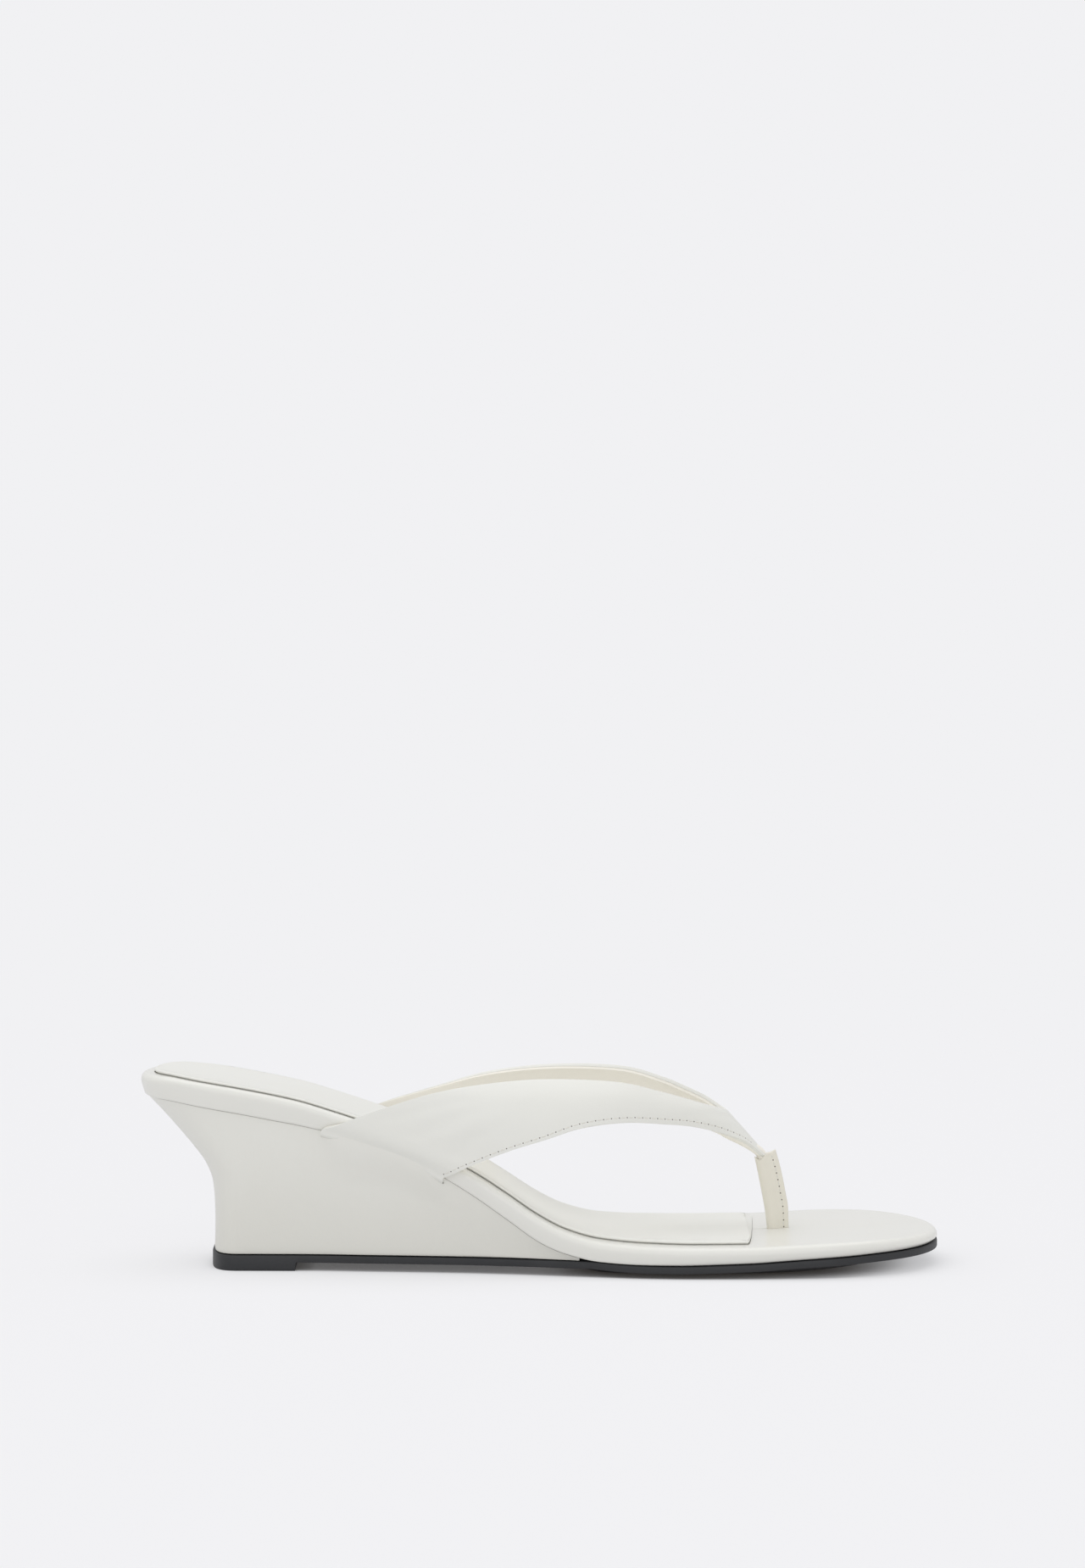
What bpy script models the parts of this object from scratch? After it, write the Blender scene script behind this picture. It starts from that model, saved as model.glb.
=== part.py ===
"""A right-foot toe post wedge sandal, standing on the floor: +X to the toe, +Y to the big toe side, +Z up.

Lengths are in metres. Places along the shoe are measured from the back of the footbed.
"""

import math

import bmesh
import bpy
import numpy as np
from mathutils import Vector

# Whole shoe
SHOE_LENGTH = 0.239
BALL_WIDTH = 0.083
HEEL_HEIGHT = 0.0583
BALL_HEIGHT = 0.0092
TOE_RISE = 0.0015
OUTLINE_MIDDLE = 0.0055  # share of the ball width that centres the bowed outline on Y = 0
FIT_GAP = 0.0003

# Footbed: a board wrapped in leather, thickest at the heel, with a rolled top edge that leans in below
FOOTBED_THICKNESS = 0.0073
EDGE_ROLL = 0.0020
EDGE_LEAN = 0.0012
EDGE_LEAN_BEND = 1.5
HEEL_CUP = 0.0008
HEEL_CURVE = 0.027
HEEL_SQUARENESS = 2.1
TOE_CURVE = 0.038
TOE_SQUARENESS = 2.15

# Padded sock in its recess
PAD_THICKNESS = 0.0018
PAD_RECESS = 0.0009
PAD_MARGIN = 0.0040
PAD_BALL_MARGIN = 0.0085
PAD_BALL_START = 0.081
PAD_TO_POST = 0.0078
PAD_FRONT_SLANT = 0.040
PAD_SLANT_START = 0.75  # share of the pad's length where its front starts to slant
PAD_EDGE_ROUND = 0.0007

# Outsole with its heel pad
HEEL_PAD_THICKNESS = 0.0046
HEEL_PAD_LENGTH = 0.0252
HEEL_PAD_CORNER = 0.0090
HEEL_PAD_SQUARENESS = 3.0
SOLE_BACK = 0.0215
SOLE_EDGE = 0.0021
WAIST_LIFT = 0.0023
WAIST_END = SHOE_LENGTH * 0.58996
WAIST_RAMP = 0.018
SPRING_START = SHOE_LENGTH * 0.75732
TOE_LIFT = 0.0050
SPRING_BEND = 0.5  # share of the easing curve that the toe spring uses
TREAD_SHARE = 0.62

# Wedge
WEDGE_TOP_INSET = 0.0008
WEDGE_FOOT_INSET = 0.0006
WEDGE_TIP_THICKNESS = 0.0006

# Upper: the V strap
STRAP_WALL = 0.0018
STRAP_BULGE = 0.0016
STRAP_INSTEP = 0.0465
STRAP_TAIL = 0.0085
OUTER_BASE_BACK = SHOE_LENGTH * 0.22887
OUTER_BASE_FRONT = SHOE_LENGTH * 0.38075
INNER_BASE_BACK = SHOE_LENGTH * 0.25858
INNER_BASE_FRONT = SHOE_LENGTH * 0.4113

# Toe post
POST_PLACE = SHOE_LENGTH * 0.7996
POST_SIDE = 0.0020
POST_HEIGHT = 0.0232
POST_WIDTH = 0.0065
POST_THICKNESS = 0.0036
POST_SEAM_THICKNESS = 0.0024
POST_SLANT = 0.12  # rise of the mouth from its middle to either edge, as a share of the width
NECK_WIDTH = 0.0032
NECK_THICKNESS = 0.0020
PAD_FRONT = POST_PLACE - PAD_TO_POST

# Sections from back to toe. along: share of the length. climb: share of the way from ball height up to
# heel height. tip: share of the toe rise. thick: share of the footbed thickness. half: half width as a share
# of the ball width. centre: middle of the section, sideways, as a share of the ball width. sole: half width
# of the outsole as a share of the footbed's.
SECTION_COLUMNS = ("along", "climb", "tip", "thick", "half", "centre", "sole")
SECTIONS = (
    (0.000, 1.000, 0.00, 1.00, 0.325, 0.000, 0.790),
    (0.033, 0.996, 0.00, 1.01, 0.326, 0.000, 0.790),
    (0.074, 0.969, 0.00, 1.00, 0.328, 0.000, 0.790),
    (0.160, 0.896, 0.00, 1.00, 0.330, -0.002, 0.790),
    (0.203, 0.850, 0.00, 0.95, 0.332, -0.005, 0.785),
    (0.236, 0.802, 0.00, 0.88, 0.334, -0.008, 0.790),
    (0.280, 0.733, 0.00, 0.84, 0.337, -0.014, 0.815),
    (0.335, 0.636, 0.00, 0.81, 0.342, -0.020, 0.835),
    (0.381, 0.521, 0.00, 0.81, 0.348, -0.026, 0.850),
    (0.418, 0.421, 0.00, 0.87, 0.357, -0.029, 0.862),
    (0.460, 0.290, 0.00, 0.93, 0.374, -0.032, 0.880),
    (0.498, 0.167, 0.00, 0.96, 0.394, -0.032, 0.900),
    (0.532, 0.084, 0.00, 0.88, 0.417, -0.027, 0.925),
    (0.575, 0.029, 0.00, 0.81, 0.443, -0.020, 0.955),
    (0.632, 0.007, 0.00, 0.76, 0.478, -0.009, 0.980),
    (0.690, 0.000, 0.00, 0.71, 0.496, -0.001, 0.990),
    (0.757, 0.000, 0.07, 0.65, 0.500, 0.004, 0.992),
    (0.815, 0.000, 0.50, 0.61, 0.499, 0.008, 0.992),
    (0.870, 0.000, 0.87, 0.58, 0.494, 0.016, 0.992),
    (0.920, 0.000, 1.00, 0.53, 0.491, 0.026, 0.992),
    (1.000, 0.000, 0.67, 0.41, 0.488, 0.036, 0.992),
)

# Back of the wedge, from its foot up. up: share of its height. flare: share of the way from the foot's
# outline out to the seat's outline, behind and at the sides.
WEDGE_COLUMNS = ("up", "back_flare", "side_flare")
WEDGE_FLARE = (
    (0.00, 0.00, 0.00),
    (0.18, -0.01, 0.12),
    (0.33, 0.00, 0.24),
    (0.45, 0.03, 0.36),
    (0.57, 0.14, 0.49),
    (0.68, 0.33, 0.62),
    (0.79, 0.55, 0.76),
    (0.90, 0.78, 0.89),
    (1.00, 1.00, 1.00),
)

# Strap edges from where they clear the footbed to the crotch over the toe post. low is the edge towards the
# toes, top the edge towards the ankle. along: share of the length. out: distance from the post's line as a
# share of half the ball width. up: height over the footbed as a share of the instep height.
STRAP_COLUMNS = ("low_along", "low_out", "low_up", "top_along", "top_out", "top_up")
OUTER_STRAP = (
    (0.409, 0.865, 0.024, 0.277, 0.780, 0.034),
    (0.459, 0.877, 0.288, 0.345, 0.769, 0.277),
    (0.510, 0.853, 0.535, 0.414, 0.708, 0.533),
    (0.553, 0.781, 0.686, 0.499, 0.605, 0.847),
    (0.607, 0.648, 0.746, 0.594, 0.467, 0.970),
    (0.661, 0.480, 0.729, 0.647, 0.347, 0.914),
    (0.688, 0.383, 0.710, 0.675, 0.282, 0.873),
    (0.716, 0.287, 0.670, 0.704, 0.190, 0.822),
    (0.744, 0.178, 0.609, 0.733, 0.000, 0.764),
)
INNER_STRAP = (
    (0.436, 0.658, 0.024, 0.305, 0.634, 0.045),
    (0.484, 0.664, 0.288, 0.372, 0.622, 0.301),
    (0.531, 0.646, 0.535, 0.436, 0.580, 0.578),
    (0.570, 0.593, 0.690, 0.516, 0.504, 0.890),
    (0.619, 0.513, 0.755, 0.602, 0.393, 0.996),
    (0.669, 0.388, 0.740, 0.652, 0.284, 0.950),
    (0.693, 0.316, 0.718, 0.679, 0.212, 0.903),
    (0.718, 0.236, 0.675, 0.707, 0.130, 0.843),
    (0.744, 0.154, 0.609, 0.733, 0.000, 0.764),
)

# Toe post from the footbed up. up: share of the post height. back and front: the two edges, ahead of the
# post's place, as shares of its width at the foot.
POST_COLUMNS = ("up", "back", "front")
POST_SHAPE = (
    (0.00, -0.500, 0.500),
    (0.24, -0.600, 0.480),
    (0.49, -0.755, 0.330),
    (0.76, -0.935, 0.125),
    (1.00, -1.080, -0.100),
)

# Neck where both branches meet and go into the post. ahead and up: from the post's mouth, as shares of the
# post width. side and deep: half sizes as shares of half the neck's thickness and width in the post.
NECK_COLUMNS = ("ahead", "up", "side", "deep")
NECK_SHAPE = (
    (-1.29, 1.12, 1.60, 0.80),
    (-1.00, 0.88, 3.20, 1.35),
    (-0.69, 0.57, 2.60, 1.20),
    (-0.385, 0.23, 1.60, 1.08),
    (-0.11, -0.09, 1.05, 1.00),
    (0.08, -0.40, 1.00, 1.00),
    (0.185, -0.83, 1.00, 1.00),
)

# Section of the toe post's sleeve in front of its fold. across: share of the width. fold and seam: half
# thickness, as shares of half the thickness at the fold and at the stitched seam.
POST_SIDE_COLUMNS = ("across", "fold", "seam")
POST_SIDES = (
    (0.62, 0.98, 0.00),
    (0.78, 0.00, 1.12),
    (0.97, 0.00, 1.00),
    (1.00, 0.00, 0.70),
)

# Where the straps' edges run into the neck, from the post's mouth, as shares of the post width.
NECK_MEET_COLUMNS = ("ahead", "out", "up")
NECK_MEET_LOW = (-0.385, 0.308, 0.277)
NECK_MEET_TOP = (-0.462, 0.000, 0.846)
NECK_MEET_SHARE = 0.55

# Edge of the sock from its side to its top. inset and drop: shares of the edge's round.
PAD_EDGE_COLUMNS = ("inset", "drop")
PAD_EDGE = (
    (0.0, 1.0),
    (0.3, 0.3),
    (1.2, 0.0),
)

STATION_STEP = 0.0065
END_STEPS = 8
NEAR = 0.0015
RING_SHARES = (0.0, 0.35, 0.7)
SOLE_RING_SHARES = (0.0, 0.3, TREAD_SHARE, 0.75, 0.88, 1.0)
EDGE_RING_SHARES = (0.4, 1.0)
ROLL_STEPS = 3
STRAP_STEPS = 2
STRAP_FADE = 4
KNEE_STEPS = 3
FOLD_STEPS = 6
POST_STEPS = 10
TANGENT_REACH = 0.02
HALVINGS = 40
EMERGE_SHARE = 0.45
TUBE_SIDES = 16
MERGE = 0.000001
STEP_WIDTH = 0.0003
BLUNT_REACH = 0.006


def clear_scene():
    for thing in list(bpy.data.objects):
        bpy.data.objects.remove(thing, do_unlink=True)


def smooth_value(places, values, at):
    """Value at a place on the smooth curve through the points, with no overshoot between them."""
    places = np.asarray(places, float)
    values = np.asarray(values, float)
    steps = np.diff(places)
    slopes = np.diff(values) / steps
    turns = np.zeros(len(places))
    turns[0] = slopes[0]
    turns[-1] = slopes[-1]
    for i in range(1, len(places) - 1):
        if slopes[i - 1] * slopes[i] > 0:
            before = 2 * steps[i] + steps[i - 1]
            after = steps[i] + 2 * steps[i - 1]
            turns[i] = (before + after) / (before / slopes[i - 1] + after / slopes[i])
    at = min(max(at, places[0]), places[-1])
    i = min(int(np.searchsorted(places, at, side="right")) - 1, len(steps) - 1)
    t = (at - places[i]) / steps[i]
    rise = t * t * (3 - 2 * t)
    return (
        values[i] * (1 - rise)
        + values[i + 1] * rise
        + steps[i] * (t * (1 - t) ** 2 * turns[i] - t * t * (1 - t) * turns[i + 1])
    )


def column(table, names, name):
    return [row[names.index(name)] for row in table]


def section(name, along):
    """One column of the sections, at a distance from the back of the shoe."""
    places = column(SECTIONS, SECTION_COLUMNS, "along")
    return smooth_value(places, column(SECTIONS, SECTION_COLUMNS, name), along / SHOE_LENGTH)


def end_round(distance, reach, squareness):
    """Share of the full width at a distance from a round end."""
    if reach <= 0 or distance >= reach:
        return 1.0
    return (1 - (1 - max(distance, 0) / reach) ** squareness) ** (1 / squareness)


def ease(share):
    share = min(max(share, 0.0), 1.0)
    return share * share * (3 - 2 * share)


def x_of(along):
    return along - SHOE_LENGTH / 2


def along_of(x):
    return x + SHOE_LENGTH / 2


def centre_line(along):
    return BALL_WIDTH * (section("centre", along) - OUTLINE_MIDDLE)


def footbed_half(along):
    full = BALL_WIDTH * section("half", along)
    back = end_round(along, HEEL_CURVE, HEEL_SQUARENESS)
    front = end_round(SHOE_LENGTH - along, TOE_CURVE, TOE_SQUARENESS)
    return full * back * front


def sole_half(along):
    full = BALL_WIDTH * section("half", along) * section("sole", along)
    back = end_round(along - SOLE_BACK, HEEL_PAD_CORNER, HEEL_PAD_SQUARENESS)
    front = end_round(SHOE_LENGTH - along, TOE_CURVE, TOE_SQUARENESS)
    return full * back * front


def footbed_middle(along):
    climb = section("climb", along) * (HEEL_HEIGHT - BALL_HEIGHT)
    return BALL_HEIGHT + climb + section("tip", along) * TOE_RISE


def footbed_top(along, y):
    """Height of the footbed's surface, which is cupped across the heel and flat at the ball."""
    across = (y - centre_line(along)) / (BALL_WIDTH * section("half", along))
    cup = HEEL_CUP * section("climb", along) * max(0.0, 1 - across * across)
    return footbed_middle(along) - cup


def footbed_bottom(along):
    return footbed_middle(along) - FOOTBED_THICKNESS * section("thick", along)


def sole_top(along):
    """The outsole lies flat under the wedge and follows the footbed in front of it."""
    seat = footbed_bottom(along) - FIT_GAP
    return seat if along > WAIST_END else min(HEEL_PAD_THICKNESS, seat)


def sole_lift(along):
    """Height of the underside along its middle: heel pad, raised waist, ball on the floor, toe spring."""
    breast = SOLE_BACK + HEEL_PAD_LENGTH
    if along <= breast:
        return 0.0
    if along < WAIST_END:
        rise = ease((along - breast) / STEP_WIDTH)
        return WAIST_LIFT * rise * ease((WAIST_END - along) / WAIST_RAMP)
    spring = (along - SPRING_START) / (SHOE_LENGTH - SPRING_START)
    return TOE_LIFT * ease(max(spring, 0.0) * SPRING_BEND) / ease(SPRING_BEND)


def sole_edge_bottom(along):
    breast = SOLE_BACK + HEEL_PAD_LENGTH
    return (sole_top(along) - SOLE_EDGE) * ease((along - breast) / STEP_WIDTH)


def between(first, last):
    """The common stations strictly between two places, so that facing surfaces have matching sections."""
    count = int(SHOE_LENGTH / STATION_STEP)
    places = [SHOE_LENGTH * i / count for i in range(count + 1)]
    return [place for place in places if first + NEAR < place < last - NEAR]


def stations(first, last, back_reach, front_reach, extra=()):
    """Places along a piece: the common ones in its middle, and closer ones over its round ends."""
    share = [1 - math.cos(math.pi / 2 * i / END_STEPS) for i in range(END_STEPS + 1)]
    places = [first + back_reach * s for s in share] if back_reach else [first]
    places += [last - front_reach * s for s in share] if front_reach else [last]
    places += between(first + back_reach, last - front_reach)
    places += [place for place in extra if first < place < last]
    return sorted(places)


def outline(places, half, centre, blunt_front=False):
    """Closed loop of (along, y): up the outer side to the front and back down the inner side."""
    inside = places[1:] if blunt_front else places[1:-1]
    outer = [(s, centre(s) - half(s)) for s in inside]
    inner = [(s, centre(s) + half(s)) for s in reversed(inside)]
    tip = [] if blunt_front else [(places[-1], centre(places[-1]))]
    return [(places[0], centre(places[0]))] + outer + tip + inner


def inset_loop(loop, distance):
    """The loop moved in along its own normals."""
    count = len(loop)
    moved = []
    for i, (s, y) in enumerate(loop):
        before = loop[i - 1]
        after = loop[(i + 1) % count]
        run = (after[0] - before[0], after[1] - before[1])
        size = math.hypot(*run)
        moved.append((s - run[1] / size * distance, y + run[0] / size * distance))
    return moved


def shrink_loop(loop, share, back, front, inset=0.0):
    """The loop, moved in, drawn towards the middle line from back to front: 1 leaves it, 0 is the line."""
    drawn = []
    for (place, _), (s, y) in zip(loop, inset_loop(loop, inset)):
        spine = min(max(place, back), front)
        middle = centre_line(spine)
        drawn.append((spine + (s - spine) * share, middle + (y - middle) * share))
    return drawn


def lifted(loop, height):
    """World points of a loop of (along, y), at the height that the function gives."""
    return [(x_of(s), y, height(s, y)) for s, y in loop]


def make_material(name, colour, roughness, coat=0.0):
    material = bpy.data.materials.new(name)
    material.use_nodes = True
    shader = material.node_tree.nodes["Principled BSDF"]
    shader.inputs["Base Color"].default_value = (*colour, 1.0)
    shader.inputs["Roughness"].default_value = roughness
    shader.inputs["Metallic"].default_value = 0.0
    shader.inputs["Coat Weight"].default_value = coat
    return material


def make_object(name, mesh, material=None):
    """An object of the mesh. One without a material is a cutter, which is never shown."""
    thing = bpy.data.objects.new(name, mesh)
    bpy.context.scene.collection.objects.link(thing)
    if material is None:
        thing.hide_render = True
        thing.display_type = "WIRE"
        return thing
    mesh.materials.append(material)
    mesh.shade_smooth()
    mesh.set_sharp_from_angle(angle=math.radians(40))
    return thing


def mesh_of_rings(name, rings, capped=False):
    """A closed mesh over a row of rings. Rings drawn to a line close by themselves, others need caps."""
    mesh = bmesh.new()
    rows = [[mesh.verts.new(point) for point in ring] for ring in rings]
    count = len(rows[0])
    for low, high in zip(rows, rows[1:]):
        for i in range(count):
            j = (i + 1) % count
            mesh.faces.new((low[i], low[j], high[j], high[i]))
    if capped:
        mesh.faces.new(list(reversed(rows[0])))
        mesh.faces.new(rows[-1])
    bmesh.ops.remove_doubles(mesh, verts=mesh.verts, dist=MERGE)
    bmesh.ops.recalc_face_normals(mesh, faces=mesh.faces)
    data = bpy.data.meshes.new(name)
    mesh.to_mesh(data)
    mesh.free()
    return data


def cut(thing, cutter, operation="DIFFERENCE"):
    modifier = thing.modifiers.new(cutter.name, "BOOLEAN")
    modifier.operation = operation
    modifier.object = cutter
    modifier.solver = "EXACT"
    # The straps' wall can fold over itself where the branches meet
    modifier.use_self = operation == "UNION"


def face_rings(loop, back, front, height, inset=0.0):
    """Rings over one face of a slab, from the middle line out."""
    return [lifted(shrink_loop(loop, share, back, front, inset), height) for share in RING_SHARES]


def make_outsole(material):
    breast = SOLE_BACK + HEEL_PAD_LENGTH
    extra = (breast, breast + STEP_WIDTH, WAIST_END, SPRING_START)
    places = stations(SOLE_BACK, SHOE_LENGTH, HEEL_PAD_CORNER, TOE_CURVE, extra)
    loop = outline(places, sole_half, centre_line)
    back = SOLE_BACK + HEEL_PAD_CORNER
    front = SHOE_LENGTH - TOE_CURVE

    def under(share):
        bend = ease((share - TREAD_SHARE) / (1 - TREAD_SHARE)) if share > TREAD_SHARE else 0.0
        drawn = shrink_loop(loop, share, back, front)
        heights = [
            sole_lift(s) + (sole_edge_bottom(t) - sole_lift(s)) * bend
            for (s, _), (t, _) in zip(drawn, loop)
        ]
        return [(x_of(s), y, z) for (s, y), z in zip(drawn, heights)]

    def over(s, y):
        return sole_top(s)

    rings = [under(share) for share in SOLE_RING_SHARES]
    rings.append(lifted(loop, over))
    rings += reversed(face_rings(loop, back, front, over))
    return make_object("outsole", mesh_of_rings("outsole", rings), material)


def make_footbed(material, cutters):
    loop = outline(stations(0.0, SHOE_LENGTH, HEEL_CURVE, TOE_CURVE), footbed_half, centre_line)
    back = HEEL_CURVE
    front = SHOE_LENGTH - TOE_CURVE

    def under(s, y):
        return footbed_bottom(s)

    def side_ring(share):
        ring = []
        for s, y in inset_loop(loop, EDGE_LEAN * (1 - share) ** EDGE_LEAN_BEND):
            low = footbed_bottom(s)
            ring.append((x_of(s), y, low + (footbed_top(s, y) - EDGE_ROLL - low) * share))
        return ring

    side = [lifted(inset_loop(loop, EDGE_LEAN), under)]
    side += [side_ring(share) for share in EDGE_RING_SHARES]
    for step in range(1, ROLL_STEPS + 1):
        turn = math.pi / 2 * step / ROLL_STEPS
        drop = EDGE_ROLL * (1 - math.sin(turn))
        rolled = inset_loop(loop, EDGE_ROLL * (1 - math.cos(turn)))
        side.append([(x_of(s), y, footbed_top(s, y) - drop) for s, y in rolled])
    rings = face_rings(loop, back, front, under, EDGE_LEAN) + side
    rings += reversed(face_rings(loop, back, front, footbed_top, EDGE_ROLL))
    footbed = make_object("footbed", mesh_of_rings("footbed", rings), material)
    for cutter in cutters:
        cut(footbed, cutter)
    return footbed


def pad_half(along):
    ball = ease((along - PAD_BALL_START) / HEEL_CURVE)
    margin = PAD_MARGIN + (PAD_BALL_MARGIN - PAD_MARGIN) * ball
    full = BALL_WIDTH * section("half", along) - margin
    return full * end_round(along - PAD_MARGIN, HEEL_CURVE - PAD_MARGIN, HEEL_SQUARENESS)


def pad_rings(grow, floor, side, roof):
    """Rings of the sock, or of its recess when grown, with the front cut straight and slanted."""
    places = stations(PAD_MARGIN, PAD_FRONT, HEEL_CURVE - PAD_MARGIN, 0.0)
    loop = outline(places, pad_half, centre_line, blunt_front=True)
    slant_start = PAD_FRONT * PAD_SLANT_START

    def placed(points, height):
        slanted = []
        for s, y in points:
            share = ease((s - slant_start) / (PAD_FRONT - slant_start))
            slanted.append((s + PAD_FRONT_SLANT * (y - centre_line(s)) * share, y))
        return lifted(slanted, height)

    def face(height):
        spine_front = PAD_FRONT - BLUNT_REACH
        return [placed(shrink_loop(loop, share, HEEL_CURVE, spine_front), height) for share in RING_SHARES]

    rings = face(floor)
    rings += [placed(inset_loop(loop, inset - grow), height) for inset, height in side]
    rings += reversed(face(roof))
    return rings


def make_pad_cutter():
    def floor(s, y):
        return footbed_top(s, y) - PAD_RECESS

    def roof(s, y):
        return footbed_top(s, y) + PAD_THICKNESS

    rings = pad_rings(FIT_GAP, floor, [(0.0, floor), (0.0, roof)], roof)
    return make_object("pad_recess", mesh_of_rings("pad_recess", rings))


def make_insole_pad(material):
    def floor(s, y):
        return footbed_top(s, y) - PAD_RECESS + FIT_GAP

    def roof(s, y):
        return floor(s, y) + PAD_THICKNESS

    side = [(0.0, floor)]
    for inset, drop in PAD_EDGE:
        side.append((PAD_EDGE_ROUND * inset, lambda s, y, drop=drop: roof(s, y) - PAD_EDGE_ROUND * drop))
    rings = pad_rings(0.0, floor, side, roof)
    return make_object("insole_pad", mesh_of_rings("insole_pad", rings), material)


def wedge_front():
    """Where the wedge has thinned to its tip between the footbed and the outsole."""
    need = HEEL_PAD_THICKNESS + 2 * FIT_GAP + WEDGE_TIP_THICKNESS
    low = WAIST_END - HEEL_PAD_LENGTH * 2
    high = WAIST_END + HEEL_PAD_LENGTH
    for _ in range(HALVINGS):
        middle = (low + high) / 2
        if footbed_bottom(middle) > need:
            low = middle
        else:
            high = middle
    return low


def foot_stations(seat_places, start, front):
    """Places round the wedge's foot, one for each on its seat: close over its corner, then catching up."""
    corner = HEEL_PAD_CORNER - WEDGE_FOOT_INSET
    share = [1 - math.cos(math.pi / 2 * i / END_STEPS) for i in range(END_STEPS + 1)]
    places = [start + corner * s for s in share]
    first = seat_places[END_STEPS]
    for place in seat_places[END_STEPS + 1:]:
        places.append(start + corner + (front - start - corner) * (place - first) / (front - first))
    return places


def make_wedge(material, cutters):
    front = wedge_front()
    inset = EDGE_LEAN + WEDGE_TOP_INSET

    foot_start = SOLE_BACK + WEDGE_FOOT_INSET

    def foot_half(s):
        full = BALL_WIDTH * section("half", s) * section("sole", s) - WEDGE_FOOT_INSET
        return full * end_round(s - foot_start, HEEL_PAD_CORNER - WEDGE_FOOT_INSET, HEEL_PAD_SQUARENESS)

    def seat_half(s):
        full = BALL_WIDTH * section("half", s) - inset
        return full * end_round(s - inset, HEEL_CURVE - inset, HEEL_SQUARENESS)

    seat_places = stations(inset, front, HEEL_CURVE - inset, 0.0)
    foot_places = foot_stations(seat_places, foot_start, front)
    foot = outline(foot_places, foot_half, centre_line, blunt_front=True)
    seat = outline(seat_places, seat_half, centre_line, blunt_front=True)

    def foot_height(s, y):
        return HEEL_PAD_THICKNESS + FIT_GAP

    def seat_height(s, y):
        return footbed_bottom(s) - FIT_GAP

    rings = face_rings(foot, SOLE_BACK + HEEL_PAD_CORNER, front - BLUNT_REACH, foot_height)
    for up, back_flare, side_flare in WEDGE_FLARE:
        ring = []
        for (s0, y0), (s1, y1) in zip(foot, seat):
            z0 = foot_height(s0, y0)
            z1 = seat_height(s1, y1)
            ring.append((
                x_of(s0 + (s1 - s0) * back_flare),
                y0 + (y1 - y0) * side_flare,
                z0 + (z1 - z0) * up,
            ))
        rings.append(ring)
    rings += reversed(face_rings(seat, HEEL_CURVE, front - BLUNT_REACH, seat_height))
    wedge = make_object("wedge", mesh_of_rings("wedge", rings), material)
    for cutter in cutters:
        cut(wedge, cutter)
    return wedge


def footbed_edge(along, side):
    return centre_line(along) + side * footbed_half(along)


def tail_pocket(name, back, front, side):
    """Room in the top of the wedge for one strap's tail, open to the outside."""
    rings = []
    depth = STRAP_WALL + 2 * FIT_GAP
    reach = STRAP_TAIL + EDGE_LEAN + FIT_GAP
    room = STRAP_WALL / 2 + FIT_GAP
    for s in [back - room] + between(back, front) + [front + room]:
        inner = footbed_edge(s, side) - side * reach
        outer = footbed_edge(s, side) + side * STRAP_TAIL
        low = footbed_bottom(s) - depth
        high = footbed_bottom(s) + STRAP_TAIL
        rings.append([
            (x_of(s), inner, low),
            (x_of(s), outer, low),
            (x_of(s), outer, high),
            (x_of(s), inner, high),
        ])
    return make_object(name, mesh_of_rings(name, rings, capped=True))


def curve_through(points, share):
    """Point on a smooth curve through the points, for a share of the way from the first to the last."""
    count = len(points) - 1
    at = min(max(share, 0.0), 1.0) * count
    i = min(int(at), count - 1)
    t = at - i
    p1 = Vector(points[i])
    p2 = Vector(points[i + 1])
    p0 = Vector(points[i - 1]) if i > 0 else p1 * 2 - p2
    p3 = Vector(points[i + 2]) if i + 2 <= count else p2 * 2 - p1
    m1 = (p2 - p0) / 2
    m2 = (p3 - p1) / 2
    t2 = t * t
    t3 = t2 * t
    return p1 * (2 * t3 - 3 * t2 + 1) + m1 * (t3 - 2 * t2 + t) + p2 * (3 * t2 - 2 * t3) + m2 * (t3 - t2)


def over_footbed(along_share, out, up, side):
    """A point given by its shares along the shoe, out from the post's line and up from the footbed."""
    s = SHOE_LENGTH * along_share
    y = POST_SIDE + side * out * BALL_WIDTH / 2
    return Vector((x_of(s), y, footbed_middle(s) + up * STRAP_INSTEP))


def post_foot():
    return Vector((x_of(POST_PLACE), POST_SIDE, footbed_middle(POST_PLACE)))


def post_mouth():
    """Middle of the post's open top."""
    back = column(POST_SHAPE, POST_COLUMNS, "back")[-1]
    front = column(POST_SHAPE, POST_COLUMNS, "front")[-1]
    return post_foot() + Vector(((back + front) / 2 * POST_WIDTH, 0.0, POST_HEIGHT))


def neck_meet(place, side):
    ahead, out, up = place
    return post_mouth() + Vector((ahead, side * out, up)) * POST_WIDTH


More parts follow.
